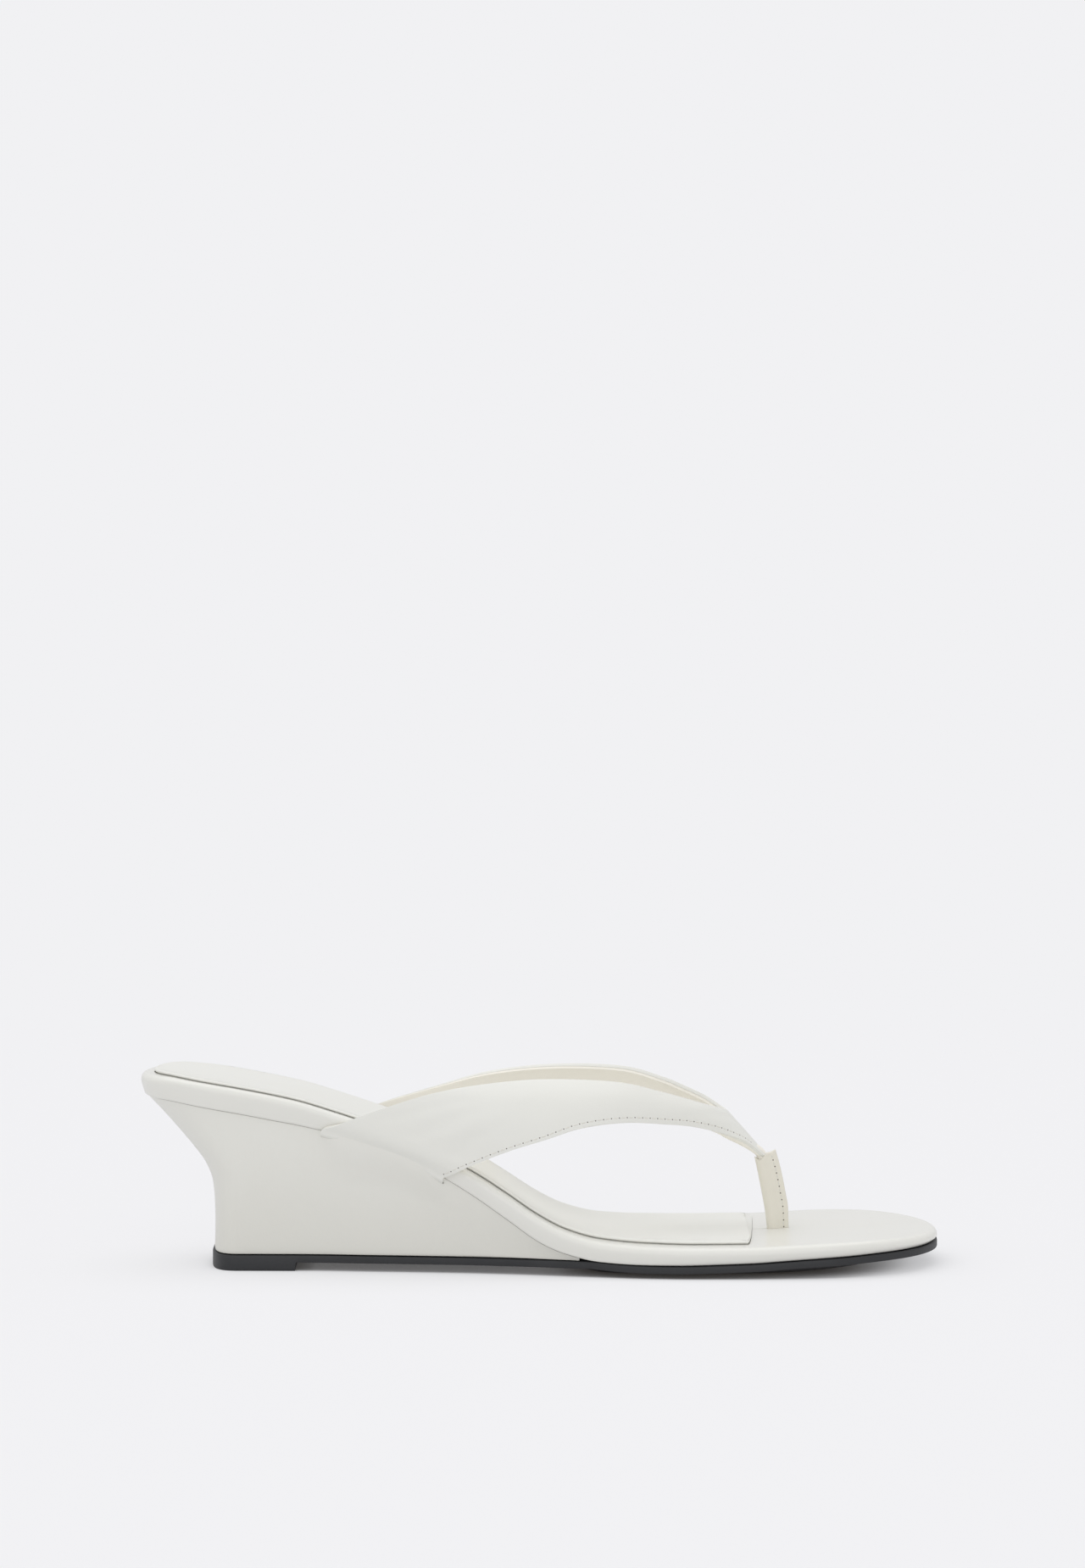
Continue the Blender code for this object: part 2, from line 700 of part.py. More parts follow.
def strap_rows(table, back, front, side):
    """Rows of points across one branch, from the end of its tail to the neck, on its middle surface."""
    middle = STRAP_WALL / 2
    radius = FIT_GAP + middle
    rows = []
    places = [front] + list(reversed(between(back, front))) + [back]
    shares = [(front - s) / (front - back) for s in places]

    def base_row(offset, rise):
        row = []
        for s in places:
            edge = footbed_edge(s, side) - side * EDGE_LEAN
            row.append(Vector((x_of(s), edge + side * offset, footbed_bottom(s) + rise)))
        return row

    rows.append(base_row(-STRAP_TAIL, -radius))
    rows.append(base_row(-STRAP_TAIL / 2, -radius))
    for step in range(KNEE_STEPS + 1):
        turn = math.pi / 2 * step / KNEE_STEPS
        rows.append(base_row(radius * math.sin(turn), -radius * math.cos(turn)))
    low = [over_footbed(*row[:3], side) for row in table]
    top = [over_footbed(*row[3:], side) for row in table]
    rows.append([])
    for knee, v in zip(rows[-2], shares):
        clear = low[0].lerp(top[0], v)
        point = knee.lerp(clear, EMERGE_SHARE)
        point.y = footbed_edge(along_of(point.x), side) + side * radius
        rows[-1].append(point)
    low.append(low[-1].lerp(neck_meet(NECK_MEET_LOW, side), NECK_MEET_SHARE))
    top.append(top[-1].lerp(neck_meet(NECK_MEET_TOP, side), NECK_MEET_SHARE))
    segments = len(table)
    count = segments * STRAP_STEPS
    crotch = (segments - 1) * STRAP_STEPS
    for step in range(count + 1):
        share = step / count
        a = curve_through(low, share)
        b = curve_through(top, share)
        if step >= crotch:
            b = top[-2].lerp(top[-1], (step - crotch) / STRAP_STEPS)
        after = min(share + TANGENT_REACH, 1.0)
        before = max(share - TANGENT_REACH, 0.0)
        ahead = curve_through(low, after) - curve_through(low, before)
        ahead += curve_through(top, after) - curve_through(top, before)
        outward = ahead.cross(b - a).normalized() * -side
        fade = ease(share * STRAP_FADE) * ease((1 - share) * STRAP_FADE)
        rows.append([a.lerp(b, v) + outward * STRAP_BULGE * fade * 4 * v * (1 - v) for v in shares])
    return rows


def neck_rings(grow):
    mouth = post_mouth()
    points = [
        mouth + Vector((ahead * POST_WIDTH, 0.0, up * POST_WIDTH)) for ahead, up, _, _ in NECK_SHAPE
    ]
    rings = []
    for i, (_, _, side, deep) in enumerate(NECK_SHAPE):
        ahead = points[min(i + 1, len(points) - 1)] - points[max(i - 1, 0)]
        ahead.normalize()
        across = Vector((0.0, 1.0, 0.0))
        lift = ahead.cross(across).normalized()
        ring = []
        for k in range(TUBE_SIDES):
            turn = 2 * math.pi * k / TUBE_SIDES
            half_side = side * NECK_THICKNESS / 2 + grow
            half_deep = deep * NECK_WIDTH / 2 + grow
            ring.append(points[i] + across * math.cos(turn) * half_side + lift * math.sin(turn) * half_deep)
        rings.append(ring)
    if grow:
        end = rings[-1]
        ahead = (points[-1] - points[-2]).normalized() * grow
        rings[-1] = [point + ahead for point in end]
    return rings


def make_upper(material, neck):
    """Both branches as one wall that share an edge over the toe post, with the neck joined on."""
    outer = strap_rows(OUTER_STRAP, OUTER_BASE_BACK, OUTER_BASE_FRONT, -1)
    inner = strap_rows(INNER_STRAP, INNER_BASE_BACK, INNER_BASE_FRONT, 1)
    mesh = bmesh.new()
    for rows in (outer, inner):
        grid = [[mesh.verts.new(point) for point in row] for row in rows]
        for low, high in zip(grid, grid[1:]):
            for j in range(len(low) - 1):
                mesh.faces.new((low[j], low[j + 1], high[j + 1], high[j]))
    bmesh.ops.remove_doubles(mesh, verts=mesh.verts, dist=MERGE)
    bmesh.ops.recalc_face_normals(mesh, faces=mesh.faces)
    data = bpy.data.meshes.new("upper")
    mesh.to_mesh(data)
    mesh.free()
    upper = make_object("upper", data, material)
    wall = upper.modifiers.new("wall", "SOLIDIFY")
    wall.thickness = STRAP_WALL
    wall.offset = 0.0
    wall.use_even_offset = True
    wall.use_quality_normals = True
    cut(upper, neck, "UNION")
    return upper


def post_section(s_back, s_front, y, z_back, z_front, grow):
    """Section of the folded sleeve: round and full at the fold behind, thin at the stitched edge in front."""
    points = []
    fold = POST_THICKNESS / 2 + grow
    seam = POST_SEAM_THICKNESS / 2 + grow
    width = s_front - s_back

    def place(share, side):
        x = x_of(s_back) + (width * share)
        z = z_back + (z_front - z_back) * share
        return (x, y + side, z)

    corner = fold / width
    for k in range(FOLD_STEPS + 1):
        turn = math.pi / 2 + math.pi * k / FOLD_STEPS
        points.append(place(corner * (1 + math.cos(turn)), fold * math.sin(turn)))
    halves = [(across, fold * by_fold + seam * by_seam) for across, by_fold, by_seam in POST_SIDES]
    points += [place(across, -half) for across, half in halves]
    points += [place(across, half) for across, half in reversed(halves)]
    return points


def post_rings(grow):
    foot = post_foot()
    tail = footbed_bottom(POST_PLACE) + FIT_GAP
    rings = []
    back = POST_PLACE + POST_SHAPE[0][1] * POST_WIDTH - grow
    front = POST_PLACE + POST_SHAPE[0][2] * POST_WIDTH + grow
    rings.append(post_section(back, front, POST_SIDE, tail, tail, grow))
    ups = column(POST_SHAPE, POST_COLUMNS, "up")
    for i in range(POST_STEPS + 1):
        share = i / POST_STEPS
        back = POST_PLACE + smooth_value(ups, column(POST_SHAPE, POST_COLUMNS, "back"), share) * POST_WIDTH
        front = POST_PLACE + smooth_value(ups, column(POST_SHAPE, POST_COLUMNS, "front"), share) * POST_WIDTH
        z = foot.z + POST_HEIGHT * share
        slant = POST_WIDTH * POST_SLANT * share
        rings.append(post_section(back - grow, front + grow, POST_SIDE, z - slant, z + slant, grow))
    return rings


def make_toe_post(material, neck_room):
    post = make_object("toe_post", mesh_of_rings("toe_post", post_rings(0.0), capped=True), material)
    cut(post, neck_room)
    return post


def make_post_slot():
    low = footbed_bottom(POST_PLACE) - FOOTBED_THICKNESS
    high = footbed_middle(POST_PLACE) + FOOTBED_THICKNESS
    back = POST_PLACE + POST_SHAPE[0][1] * POST_WIDTH - FIT_GAP
    front = POST_PLACE + POST_SHAPE[0][2] * POST_WIDTH + FIT_GAP
    rings = [post_section(back, front, POST_SIDE, z, z, FIT_GAP) for z in (low, high)]
    return make_object("post_slot", mesh_of_rings("post_slot", rings, capped=True))


def main():
    clear_scene()
    leather = make_material("cream_leather", (0.80, 0.79, 0.74), 0.38, 0.15)
    strap_leather = make_material("strap_leather", (0.80, 0.79, 0.74), 0.40, 0.15)
    post_leather = make_material("post_leather", (0.78, 0.75, 0.67), 0.45, 0.10)
    footbed_leather = make_material("footbed_leather", (0.80, 0.79, 0.75), 0.30, 0.30)
    sock_leather = make_material("sock_leather", (0.80, 0.79, 0.75), 0.42, 0.10)
    rubber = make_material("black_rubber", (0.030, 0.032, 0.034), 0.60)

    outer_pocket = tail_pocket("outer_tail_pocket", OUTER_BASE_BACK, OUTER_BASE_FRONT, -1)
    inner_pocket = tail_pocket("inner_tail_pocket", INNER_BASE_BACK, INNER_BASE_FRONT, 1)
    neck = make_object("neck", mesh_of_rings("neck", neck_rings(0.0), capped=True))
    neck_room = make_object("neck_room", mesh_of_rings("neck_room", neck_rings(FIT_GAP), capped=True))

    make_outsole(rubber)
    make_wedge(leather, (outer_pocket, inner_pocket))
    make_footbed(footbed_leather, (make_pad_cutter(), make_post_slot()))
    make_insole_pad(sock_leather)
    make_upper(strap_leather, neck)
    make_toe_post(post_leather, neck_room)


main()
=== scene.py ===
import bisect
import math

import bmesh
import bpy
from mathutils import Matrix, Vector


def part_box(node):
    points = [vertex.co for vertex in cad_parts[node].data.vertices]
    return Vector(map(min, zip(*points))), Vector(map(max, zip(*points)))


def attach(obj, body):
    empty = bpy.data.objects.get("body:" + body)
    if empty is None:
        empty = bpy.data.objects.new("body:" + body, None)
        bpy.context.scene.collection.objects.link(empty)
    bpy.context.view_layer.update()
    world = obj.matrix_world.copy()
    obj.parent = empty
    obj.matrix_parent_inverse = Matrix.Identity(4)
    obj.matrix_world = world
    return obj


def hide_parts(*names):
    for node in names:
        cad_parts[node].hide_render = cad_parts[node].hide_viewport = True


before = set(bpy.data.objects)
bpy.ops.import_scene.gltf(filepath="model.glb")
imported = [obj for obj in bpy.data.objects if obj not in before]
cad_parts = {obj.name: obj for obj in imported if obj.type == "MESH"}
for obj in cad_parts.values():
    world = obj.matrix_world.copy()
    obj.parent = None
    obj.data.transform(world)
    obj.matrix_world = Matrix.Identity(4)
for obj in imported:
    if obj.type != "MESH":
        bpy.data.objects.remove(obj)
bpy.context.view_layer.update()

footbedLow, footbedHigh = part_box("footbed")

# A right-foot toe post wedge sandal. Lengths are in metres, and places along the shoe are
# measured from the back of the footbed.
shoe = {
    "length": footbedHigh.x - footbedLow.x,
    "ballWidth": 0.083,
    "heelHeight": 0.0583,
    "ballHeight": 0.0092,
    "toeRise": 0.0015,
    "outlineMiddle": 0.0055,  # share of the ball width that centres the bowed outline
    "gap": 0.0003,
    "step": 0.0022,  # between two stations along the shoe
    "endSteps": 18,  # stations over a round end
}

# The side view, widths and middle line, as shares of the length, climb and ball width
sectionNames = ("along", "climb", "tip", "thick", "half", "centre", "sole")
sectionRows = (
    (0.000, 1.000, 0.00, 1.00, 0.325, 0.000, 0.790),
    (0.033, 0.996, 0.00, 1.01, 0.326, 0.000, 0.790),
    (0.074, 0.969, 0.00, 1.00, 0.328, 0.000, 0.790),
    (0.160, 0.896, 0.00, 1.00, 0.330, -0.002, 0.790),
    (0.203, 0.850, 0.00, 0.95, 0.332, -0.005, 0.785),
    (0.236, 0.802, 0.00, 0.88, 0.334, -0.008, 0.790),
    (0.280, 0.733, 0.00, 0.84, 0.337, -0.014, 0.815),
    (0.335, 0.636, 0.00, 0.81, 0.342, -0.020, 0.835),
    (0.381, 0.521, 0.00, 0.81, 0.348, -0.026, 0.850),
    (0.418, 0.421, 0.00, 0.87, 0.357, -0.029, 0.862),
    (0.460, 0.290, 0.00, 0.93, 0.374, -0.032, 0.880),
    (0.498, 0.167, 0.00, 0.96, 0.394, -0.032, 0.900),
    (0.532, 0.084, 0.00, 0.88, 0.417, -0.027, 0.925),
    (0.575, 0.029, 0.00, 0.81, 0.443, -0.020, 0.955),
    (0.632, 0.007, 0.00, 0.76, 0.478, -0.009, 0.980),
    (0.690, 0.000, 0.00, 0.71, 0.496, -0.001, 0.990),
    (0.757, 0.000, 0.07, 0.65, 0.500, 0.004, 0.992),
    (0.815, 0.000, 0.50, 0.61, 0.499, 0.008, 0.992),
    (0.870, 0.000, 0.87, 0.58, 0.494, 0.016, 0.992),
    (0.920, 0.000, 1.00, 0.53, 0.491, 0.026, 0.992),
    (1.000, 0.000, 0.67, 0.41, 0.488, 0.036, 0.992),
)


# Smooth curve through the points, with no overshoot between them
def makeCurve(places, values):
    steps = [b - a for a, b in zip(places, places[1:])]
    slopes = [(b - a) / step for a, b, step in zip(values, values[1:], steps)]
    turns = [slopes[0]] + [0.0] * (len(steps) - 1) + [slopes[-1]]
    for i in range(1, len(steps)):
        if slopes[i - 1] * slopes[i] > 0:
            before = 2 * steps[i] + steps[i - 1]
            after = steps[i] + 2 * steps[i - 1]
            turns[i] = (before + after) / (before / slopes[i - 1] + after / slopes[i])

    def valueAt(place):
        place = min(max(place, places[0]), places[-1])
        i = min(bisect.bisect_right(places, place) - 1, len(steps) - 1)
        t = (place - places[i]) / steps[i]
        rise = t * t * (3 - 2 * t)
        bend = t * (1 - t) ** 2 * turns[i] - t * t * (1 - t) * turns[i + 1]
        return values[i] * (1 - rise) + values[i + 1] * rise + steps[i] * bend

    return valueAt


def tableCurves(names, rows):
    columns = list(zip(*rows))
    return {name: makeCurve(columns[0], columns[names.index(name)]) for name in names[1:]}


sectionCurves = tableCurves(sectionNames, sectionRows)


def section(name, along):
    return sectionCurves[name](along / shoe["length"])


def quarterTurn(steps):
    return [math.pi / 2 * k / steps for k in range(steps + 1)]


def fullTurn(sides):
    return [2 * math.pi * k / sides for k in range(sides)]


def ease(share):
    share = min(max(share, 0.0), 1.0)
    return share * share * (3 - 2 * share)


def endRound(distance, reach, squareness):
    if reach <= 0 or distance >= reach:
        return 1.0
    return (1 - (1 - max(distance, 0) / reach) ** squareness) ** (1 / squareness)


def xOf(along):
    return along - shoe["length"] / 2


def alongOf(x):
    return x + shoe["length"] / 2


# A point from its place along the shoe
def at(along, y, z):
    return Vector((xOf(along), y, z))


def fullHalf(along):
    return shoe["ballWidth"] * section("half", along)


def centreLine(along):
    return shoe["ballWidth"] * (section("centre", along) - shoe["outlineMiddle"])


# Footbed: a board wrapped in leather, with a rolled top edge that leans in below
footbed = {
    "thickness": 0.0073,
    "roll": 0.0020,
    "rollSteps": 8,
    "lean": 0.0012,
    "cup": 0.0008,
    "heelCurve": 0.027,
    "heelSquareness": 2.1,
    "toeCurve": 0.038,
    "toeSquareness": 2.15,
    "faceSteps": 18,
    "underSteps": 6,
    "sideShares": (0.09, 0.2, 0.35, 0.5, 0.65, 0.8, 0.9, 1.0),
    "slitWidth": 0.00035,
    "slitDepth": 0.0007,
}


def toeRound(along):
    return endRound(shoe["length"] - along, footbed["toeCurve"], footbed["toeSquareness"])


def footbedHalf(along):
    back = endRound(along, footbed["heelCurve"], footbed["heelSquareness"])
    return fullHalf(along) * back * toeRound(along)


def footbedMiddle(along):
    climb = section("climb", along) * (shoe["heelHeight"] - shoe["ballHeight"])
    return shoe["ballHeight"] + climb + section("tip", along) * shoe["toeRise"]


def footbedTop(along, y):
    across = (y - centreLine(along)) / fullHalf(along)
    return footbedMiddle(along) - footbed["cup"] * section("climb", along) * max(0.0, 1 - across * across)


def footbedBottom(along):
    return footbedMiddle(along) - footbed["thickness"] * section("thick", along)


def footbedEdge(along, side):
    return centreLine(along) + side * footbedHalf(along)


def stations(first, last, backReach, frontReach, extra=()):
    shares = [1 - math.cos(turn) for turn in quarterTurn(shoe["endSteps"])]
    places = [first + backReach * share for share in shares] if backReach else [first]
    places += [last - frontReach * share for share in shares] if frontReach else [last]
    low = first + backReach
    high = last - frontReach
    steps = max(2, round((high - low) / shoe["step"]))
    places += [low + (high - low) * i / steps for i in range(1, steps)]
    places += [place for place in extra if first < place < last]
    return sorted(places)


def outline(places, half, bluntFront=False):
    inside = places[1:] if bluntFront else places[1:-1]
    near = [(s, centreLine(s) - half(s)) for s in inside]
    far = [(s, centreLine(s) + half(s)) for s in reversed(inside)]
    tip = [] if bluntFront else [(places[-1], centreLine(places[-1]))]
    return [(places[0], centreLine(places[0]))] + near + tip + far


def insetLoop(loop, distance):
    moved = []
    for i, (s, y) in enumerate(loop):
        before = loop[i - 1]
        after = loop[(i + 1) % len(loop)]
        run = (after[0] - before[0], after[1] - before[1])
        size = math.hypot(*run)
        moved.append((s - run[1] / size * distance, y + run[0] / size * distance))
    return moved


# The loop drawn towards the middle line between back and front: 1 leaves it, 0 is the line
def shrinkLoop(loop, share, back, front, inset=0.0):
    drawn = []
    for (place, _), (s, y) in zip(loop, insetLoop(loop, inset)):
        spine = min(max(place, back), front)
        middle = centreLine(spine)
        drawn.append((spine + (s - spine) * share, middle + (y - middle) * share))
    return drawn


def lifted(loop, height):
    return [at(s, y, height(s, y)) for s, y in loop]


def shares(count):
    return [i / count for i in range(count)]


def faceRings(loop, back, front, height, steps, inset=0.0):
    return [lifted(shrinkLoop(loop, share, back, front, inset), height) for share in shares(steps)]


def meshFrom(builder, name):
    data = bpy.data.meshes.new(name)
    builder.to_mesh(data)
    builder.free()
    return data


def newObject(name, data):
    thing = bpy.data.objects.new(name, data)
    bpy.context.scene.collection.objects.link(thing)
    return thing


# Faces between closed rows of vertices, with the first and last row filled if capped
def bridge(builder, rows, capped):
    for low, high in zip(rows, rows[1:]):
        for i in range(len(low)):
            j = (i + 1) % len(low)
            builder.faces.new((low[i], low[j], high[j], high[i]))
    if capped:
        builder.faces.new(list(reversed(rows[0])))
        builder.faces.new(rows[-1])


def loft(name, rings, capped=False):
    builder = bmesh.new()
    bridge(builder, [[builder.verts.new(point) for point in ring] for ring in rings], capped)
    bmesh.ops.remove_doubles(builder, verts=builder.verts, dist=1e-6)
    bmesh.ops.recalc_face_normals(builder, faces=builder.faces)
    return newObject(name, meshFrom(builder, name))


# Turns the object's modifiers into its mesh and shades it smooth, with its real corners kept
def settle(thing, corner=38):
    graph = bpy.context.evaluated_depsgraph_get()
    mesh = bpy.data.meshes.new_from_object(thing.evaluated_get(graph))
    thing.modifiers.clear()
    thing.data = mesh
    mesh.shade_smooth()
    mesh.set_sharp_from_angle(angle=math.radians(corner))
    return thing


def cutAway(thing, cutters):
    for cutter in cutters:
        modifier = thing.modifiers.new("cut", "BOOLEAN")
        modifier.operation = "DIFFERENCE"
        modifier.solver = "EXACT"
        modifier.object = cutter
    bpy.context.view_layer.update()
    settle(thing)
    for cutter in cutters:
        bpy.data.objects.remove(cutter)


def addPiece(thing, material, nodes=()):
    thing.data.materials.clear()
    thing.data.materials.append(material)
    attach(thing, "root")
    if nodes:
        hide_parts(*nodes)
    print("piece", thing.name, len(thing.data.polygons), "faces")
    return thing


# Gives a node's inputs their values. A value that is another node's output is linked.
def feed(tree, node, values):
    for key, value in values.items():
        if isinstance(value, bpy.types.NodeSocket):
            tree.links.new(value, node.inputs[key])
        else:
            node.inputs[key].default_value = value


def addNode(tree, kind, values=(), **settings):
    node = tree.nodes.new("ShaderNode" + kind)
    for key, value in settings.items():
        setattr(node, key, value)
    feed(tree, node, dict(values))
    return node


def calculate(tree, operation, *values):
    return addNode(tree, "Math", enumerate(values), operation=operation).outputs[0]


def times(tree, a, b):
    return calculate(tree, "MULTIPLY", a, b)


def mixed(tree, share, a, b, kind="RGBA"):
    return addNode(tree, "Mix", {"Factor": share, "A": a, "B": b}, data_type=kind).outputs["Result"]


# value from low to high, mapped to a share from least to 1
def mapped(tree, value, low, high, least=0.0, **settings):
    values = {"Value": value, "From Min": low, "From Max": high, "To Min": least}
    return addNode(tree, "MapRange", values, **settings).outputs["Result"]


def cloudy(tree, place, scale, detail, roughness, distortion=0.0):
    values = {"Vector": place, "Scale": scale, "Detail": detail, "Roughness": roughness}
    return addNode(tree, "TexNoise", {**values, "Distortion": distortion}).outputs["Fac"]


# Shader node groups, each built once and used by several materials
def startGroup(name, inputs):
    group = bpy.data.node_groups.new(name, "ShaderNodeTree")
    for socketName, value in inputs.items():
        kind = "NodeSocketColor" if isinstance(value, tuple) else "NodeSocketFloat"
        socket = group.interface.new_socket(socketName, in_out="INPUT", socket_type=kind)
        socket.default_value = value
    place = addNode(group, "TexCoord").outputs["Object"]
    return group, group.nodes.new("NodeGroupInput").outputs, place


def finishGroup(group, outputs):
    for socketName, value in outputs.items():
        group.interface.new_socket(socketName, in_out="OUTPUT", socket_type=value.bl_idname)
    feed(group, group.nodes.new("NodeGroupOutput"), outputs)
    return group


# Fine leather grain: cells with wrinkles and a finer noise over them, all scaled by the cells
def makeGrainGroup():
    group, given, place = startGroup("leatherGrain", {"Cell Size": 0.0006, "Softness": 0.5})
    wrinkleScale = 0.45
    fineScale = 2.3
    fineHeight = 0.25
    density = calculate(group, "DIVIDE", 1.0, given["Cell Size"])
    cells = addNode(group, "TexVoronoi", {"Vector": place, "Scale": density}, feature="SMOOTH_F1")
    wrinkles = cloudy(group, place, times(group, density, wrinkleScale), 4.0, 0.6)
    fine = cloudy(group, place, times(group, density, fineScale), 2.0, 0.5)
    coarse = mixed(group, given["Softness"], cells.outputs["Distance"], wrinkles, "FLOAT")
    return finishGroup(group, {"Height": calculate(group, "MULTIPLY_ADD", fine, fineHeight, coarse)})


# Broad cloudy tone and painted shade where the seam attribute marks it, as a colour
def makeToneGroup():
    group, given, place = startGroup("surfaceTone", {
        "Base": (0.8, 0.8, 0.8, 1), "Shade": (0.7, 0.7, 0.7, 1), "Seam": (0.6, 0.55, 0.45, 1),
        "Cloud Size": 0.03, "Cloud Amount": 0.4, "Painted Shade Amount": 0.5,
    })
    clouds = cloudy(group, place, calculate(group, "DIVIDE", 1.0, given["Cloud Size"]), 5.0, 0.55, 0.3)
    cloud = mapped(group, clouds, 0.35, 0.68)
    tint = mixed(group, times(group, cloud, given["Cloud Amount"]), given["Base"], given["Shade"])
    # The seam attribute gives painted shade, mixed in towards the painted shade colour
    seam = addNode(group, "Attribute", attribute_name="seam").outputs["Fac"]
    shadedTint = mixed(group, times(group, seam, given["Painted Shade Amount"]), tint, given["Seam"])
    return finishGroup(group, {"Color": shadedTint, "Cloud": cloud})


# Faint rubs and dust, as a mask
def makeRubGroup():
    group, given, place = startGroup("faintRubs", {"Size": 0.02, "Amount": 0.3})
    stretched = addNode(group, "Mapping", {"Vector": place, "Scale": (0.35, 1.0, 1.6)}).outputs["Vector"]
    rubs = cloudy(group, stretched, calculate(group, "DIVIDE", 1.0, given["Size"]), 8.0, 0.7, 1.1)
    return finishGroup(group, {"Mask": times(group, mapped(group, rubs, 0.58, 0.80), given["Amount"])})


grainGroup = makeGrainGroup()
toneGroup = makeToneGroup()
rubGroup = makeRubGroup()


# A new material with what every surface here shares: its tree, grain, tone and rubs
def startMaterial(name, look):
    material = bpy.data.materials.new(name)
    material.use_nodes = True
    tree = material.node_tree
    grain = addNode(tree, "Group", node_tree=grainGroup)
    tone = addNode(tree, "Group", node_tree=toneGroup)
    rubs = addNode(tree, "Group", node_tree=rubGroup)
    feed(tree, grain, {"Cell Size": look["cell"], "Softness": look["softness"]})
    feed(tree, tone, {
        "Base": (*look["colour"], 1), "Shade": (*look["shade"], 1), "Seam": (*look["seam"], 1),
        "Cloud Size": look["cloud"], "Cloud Amount": look["cloudAmount"], "Painted Shade Amount": look["paintedShadeAmount"],
    })
    feed(tree, rubs, {"Size": look["rubSize"], "Amount": look["rubs"]})
    depth = look["cell"] * look["grainDepth"]
    bump = addNode(tree, "Bump", {
        "Strength": look["bump"], "Distance": depth, "Height": grain.outputs["Height"],
    })
    return material, tree, tone.outputs, rubs.outputs["Mask"], bump


def makeLeather(name, look):
    material, tree, tone, rubs, bump = startMaterial(name, look)
    dull = calculate(tree, "MULTIPLY_ADD", tone["Cloud"], look["roughnessSpread"], look["roughness"])
    feed(tree, tree.nodes["Principled BSDF"], {
        "Base Color": tone["Color"], "Roughness": calculate(tree, "ADD", dull, rubs),
        "Specular IOR Level": look["specular"], "Coat Weight": look["coat"],
        "Coat Roughness": look["coatRoughness"], "Normal": bump.outputs["Normal"],
    })
    return material


# seam and its amount give the colour and strength of painted shade where the seam attribute asks for it. The
# rubber's rubs, which are wear, take its seam colour too.
smoothLeather = {
    "colour": (0.800, 0.797, 0.745), "shade": (0.770, 0.762, 0.700), "seam": (0.60, 0.55, 0.45),
    "cloud": 0.045, "cloudAmount": 0.35, "paintedShadeAmount": 0.35, "cell": 0.00055, "softness": 0.65,
    "grainDepth": 0.12, "bump": 0.35, "roughness": 0.36, "roughnessSpread": 0.07, "rubSize": 0.022,
    "rubs": 0.10, "specular": 0.45, "coat": 0.10, "coatRoughness": 0.25,
}
# The cover's seam colour is its painted shade, darker towards the bottom
wedgeLeather = makeLeather("wedgeLeather", {
    **smoothLeather, "colour": (0.825, 0.821, 0.768), "seam": (0.630, 0.618, 0.555), "paintedShadeAmount": 0.45,
})
strapLeather = makeLeather("strapLeather", {
    **smoothLeather, "colour": (0.815, 0.814, 0.765), "cell": 0.0005, "roughness": 0.38,
})
footbedLeather = makeLeather("footbedLeather", {
    **smoothLeather, "colour": (0.818, 0.814, 0.764), "shade": (0.79, 0.783, 0.722), "roughness": 0.30,
    "bump": 0.22, "coat": 0.35, "coatRoughness": 0.12, "rubs": 0.06,
})
sockLeather = makeLeather("sockLeather", {
    **smoothLeather, "colour": (0.835, 0.835, 0.790), "shade": (0.810, 0.804, 0.750), "roughness": 0.42,
    "cell": 0.0007, "bump": 0.45, "coat": 0.05, "cloudAmount": 0.5,
})
postLeather = makeLeather("postLeather", {
    **smoothLeather, "colour": (0.805, 0.776, 0.680), "shade": (0.765, 0.728, 0.625), "roughness": 0.44,
    "cell": 0.00045, "bump": 0.5, "cloud": 0.006, "coat": 0.05, "seam": (0.50, 0.45, 0.36), "paintedShadeAmount": 0.5,
})
liningLeather = makeLeather("liningLeather", {
    **smoothLeather, "colour": (0.920, 0.890, 0.810), "shade": (0.890, 0.855, 0.770), "roughness": 0.55,
    "cell": 0.0005, "bump": 0.55, "cloud": 0.012, "coat": 0.0, "specular": 0.3,
})
threadLook = {
    **smoothLeather, "colour": (0.76, 0.745, 0.68), "shade": (0.68, 0.66, 0.59), "roughness": 0.6,
    "cell": 0.00018, "bump": 0.8, "cloud": 0.002, "coat": 0.0,
}
thread = makeLeather("thread", threadLook)
# Needle holes are dark beads: their dark colour is painted shade in the holes
needleHole = makeLeather("needleHole", {
    **threadLook, "colour": (0.16, 0.14, 0.12), "shade": (0.10, 0.09, 0.08), "roughness": 0.8,
})


# Rubber with fine moulded ribs on the walking side only
def makeRubber(name, look):
    material, tree, tone, rubs, bump = startMaterial(name, look)
    place = addNode(tree, "TexCoord").outputs
    ribs = addNode(tree, "TexWave", {
        "Vector": place["Object"], "Scale": look["ribs"],
        "Distortion": 1.6, "Detail": 0.0, "Detail Scale": 0.4,
    }, bands_direction="X")
    facing = addNode(tree, "SeparateXYZ", {"Vector": place["Normal"]})
    below = mapped(tree, facing.outputs["Z"], -0.75, -0.95)
    mould = addNode(tree, "Bump", {
        "Strength": 0.8, "Distance": look["ribDepth"], "Height": times(tree, ribs.outputs["Fac"], below),
    })
    feed(tree, bump, {"Normal": mould.outputs["Normal"]})
    feed(tree, tree.nodes["Principled BSDF"], {
        "Base Color": mixed(tree, rubs, tone["Color"], (*look["seam"], 1)),
        "Roughness": calculate(tree, "ADD", rubs, look["roughness"]),
        "Specular IOR Level": look["specular"], "Normal": bump.outputs["Normal"],
    })
    return material


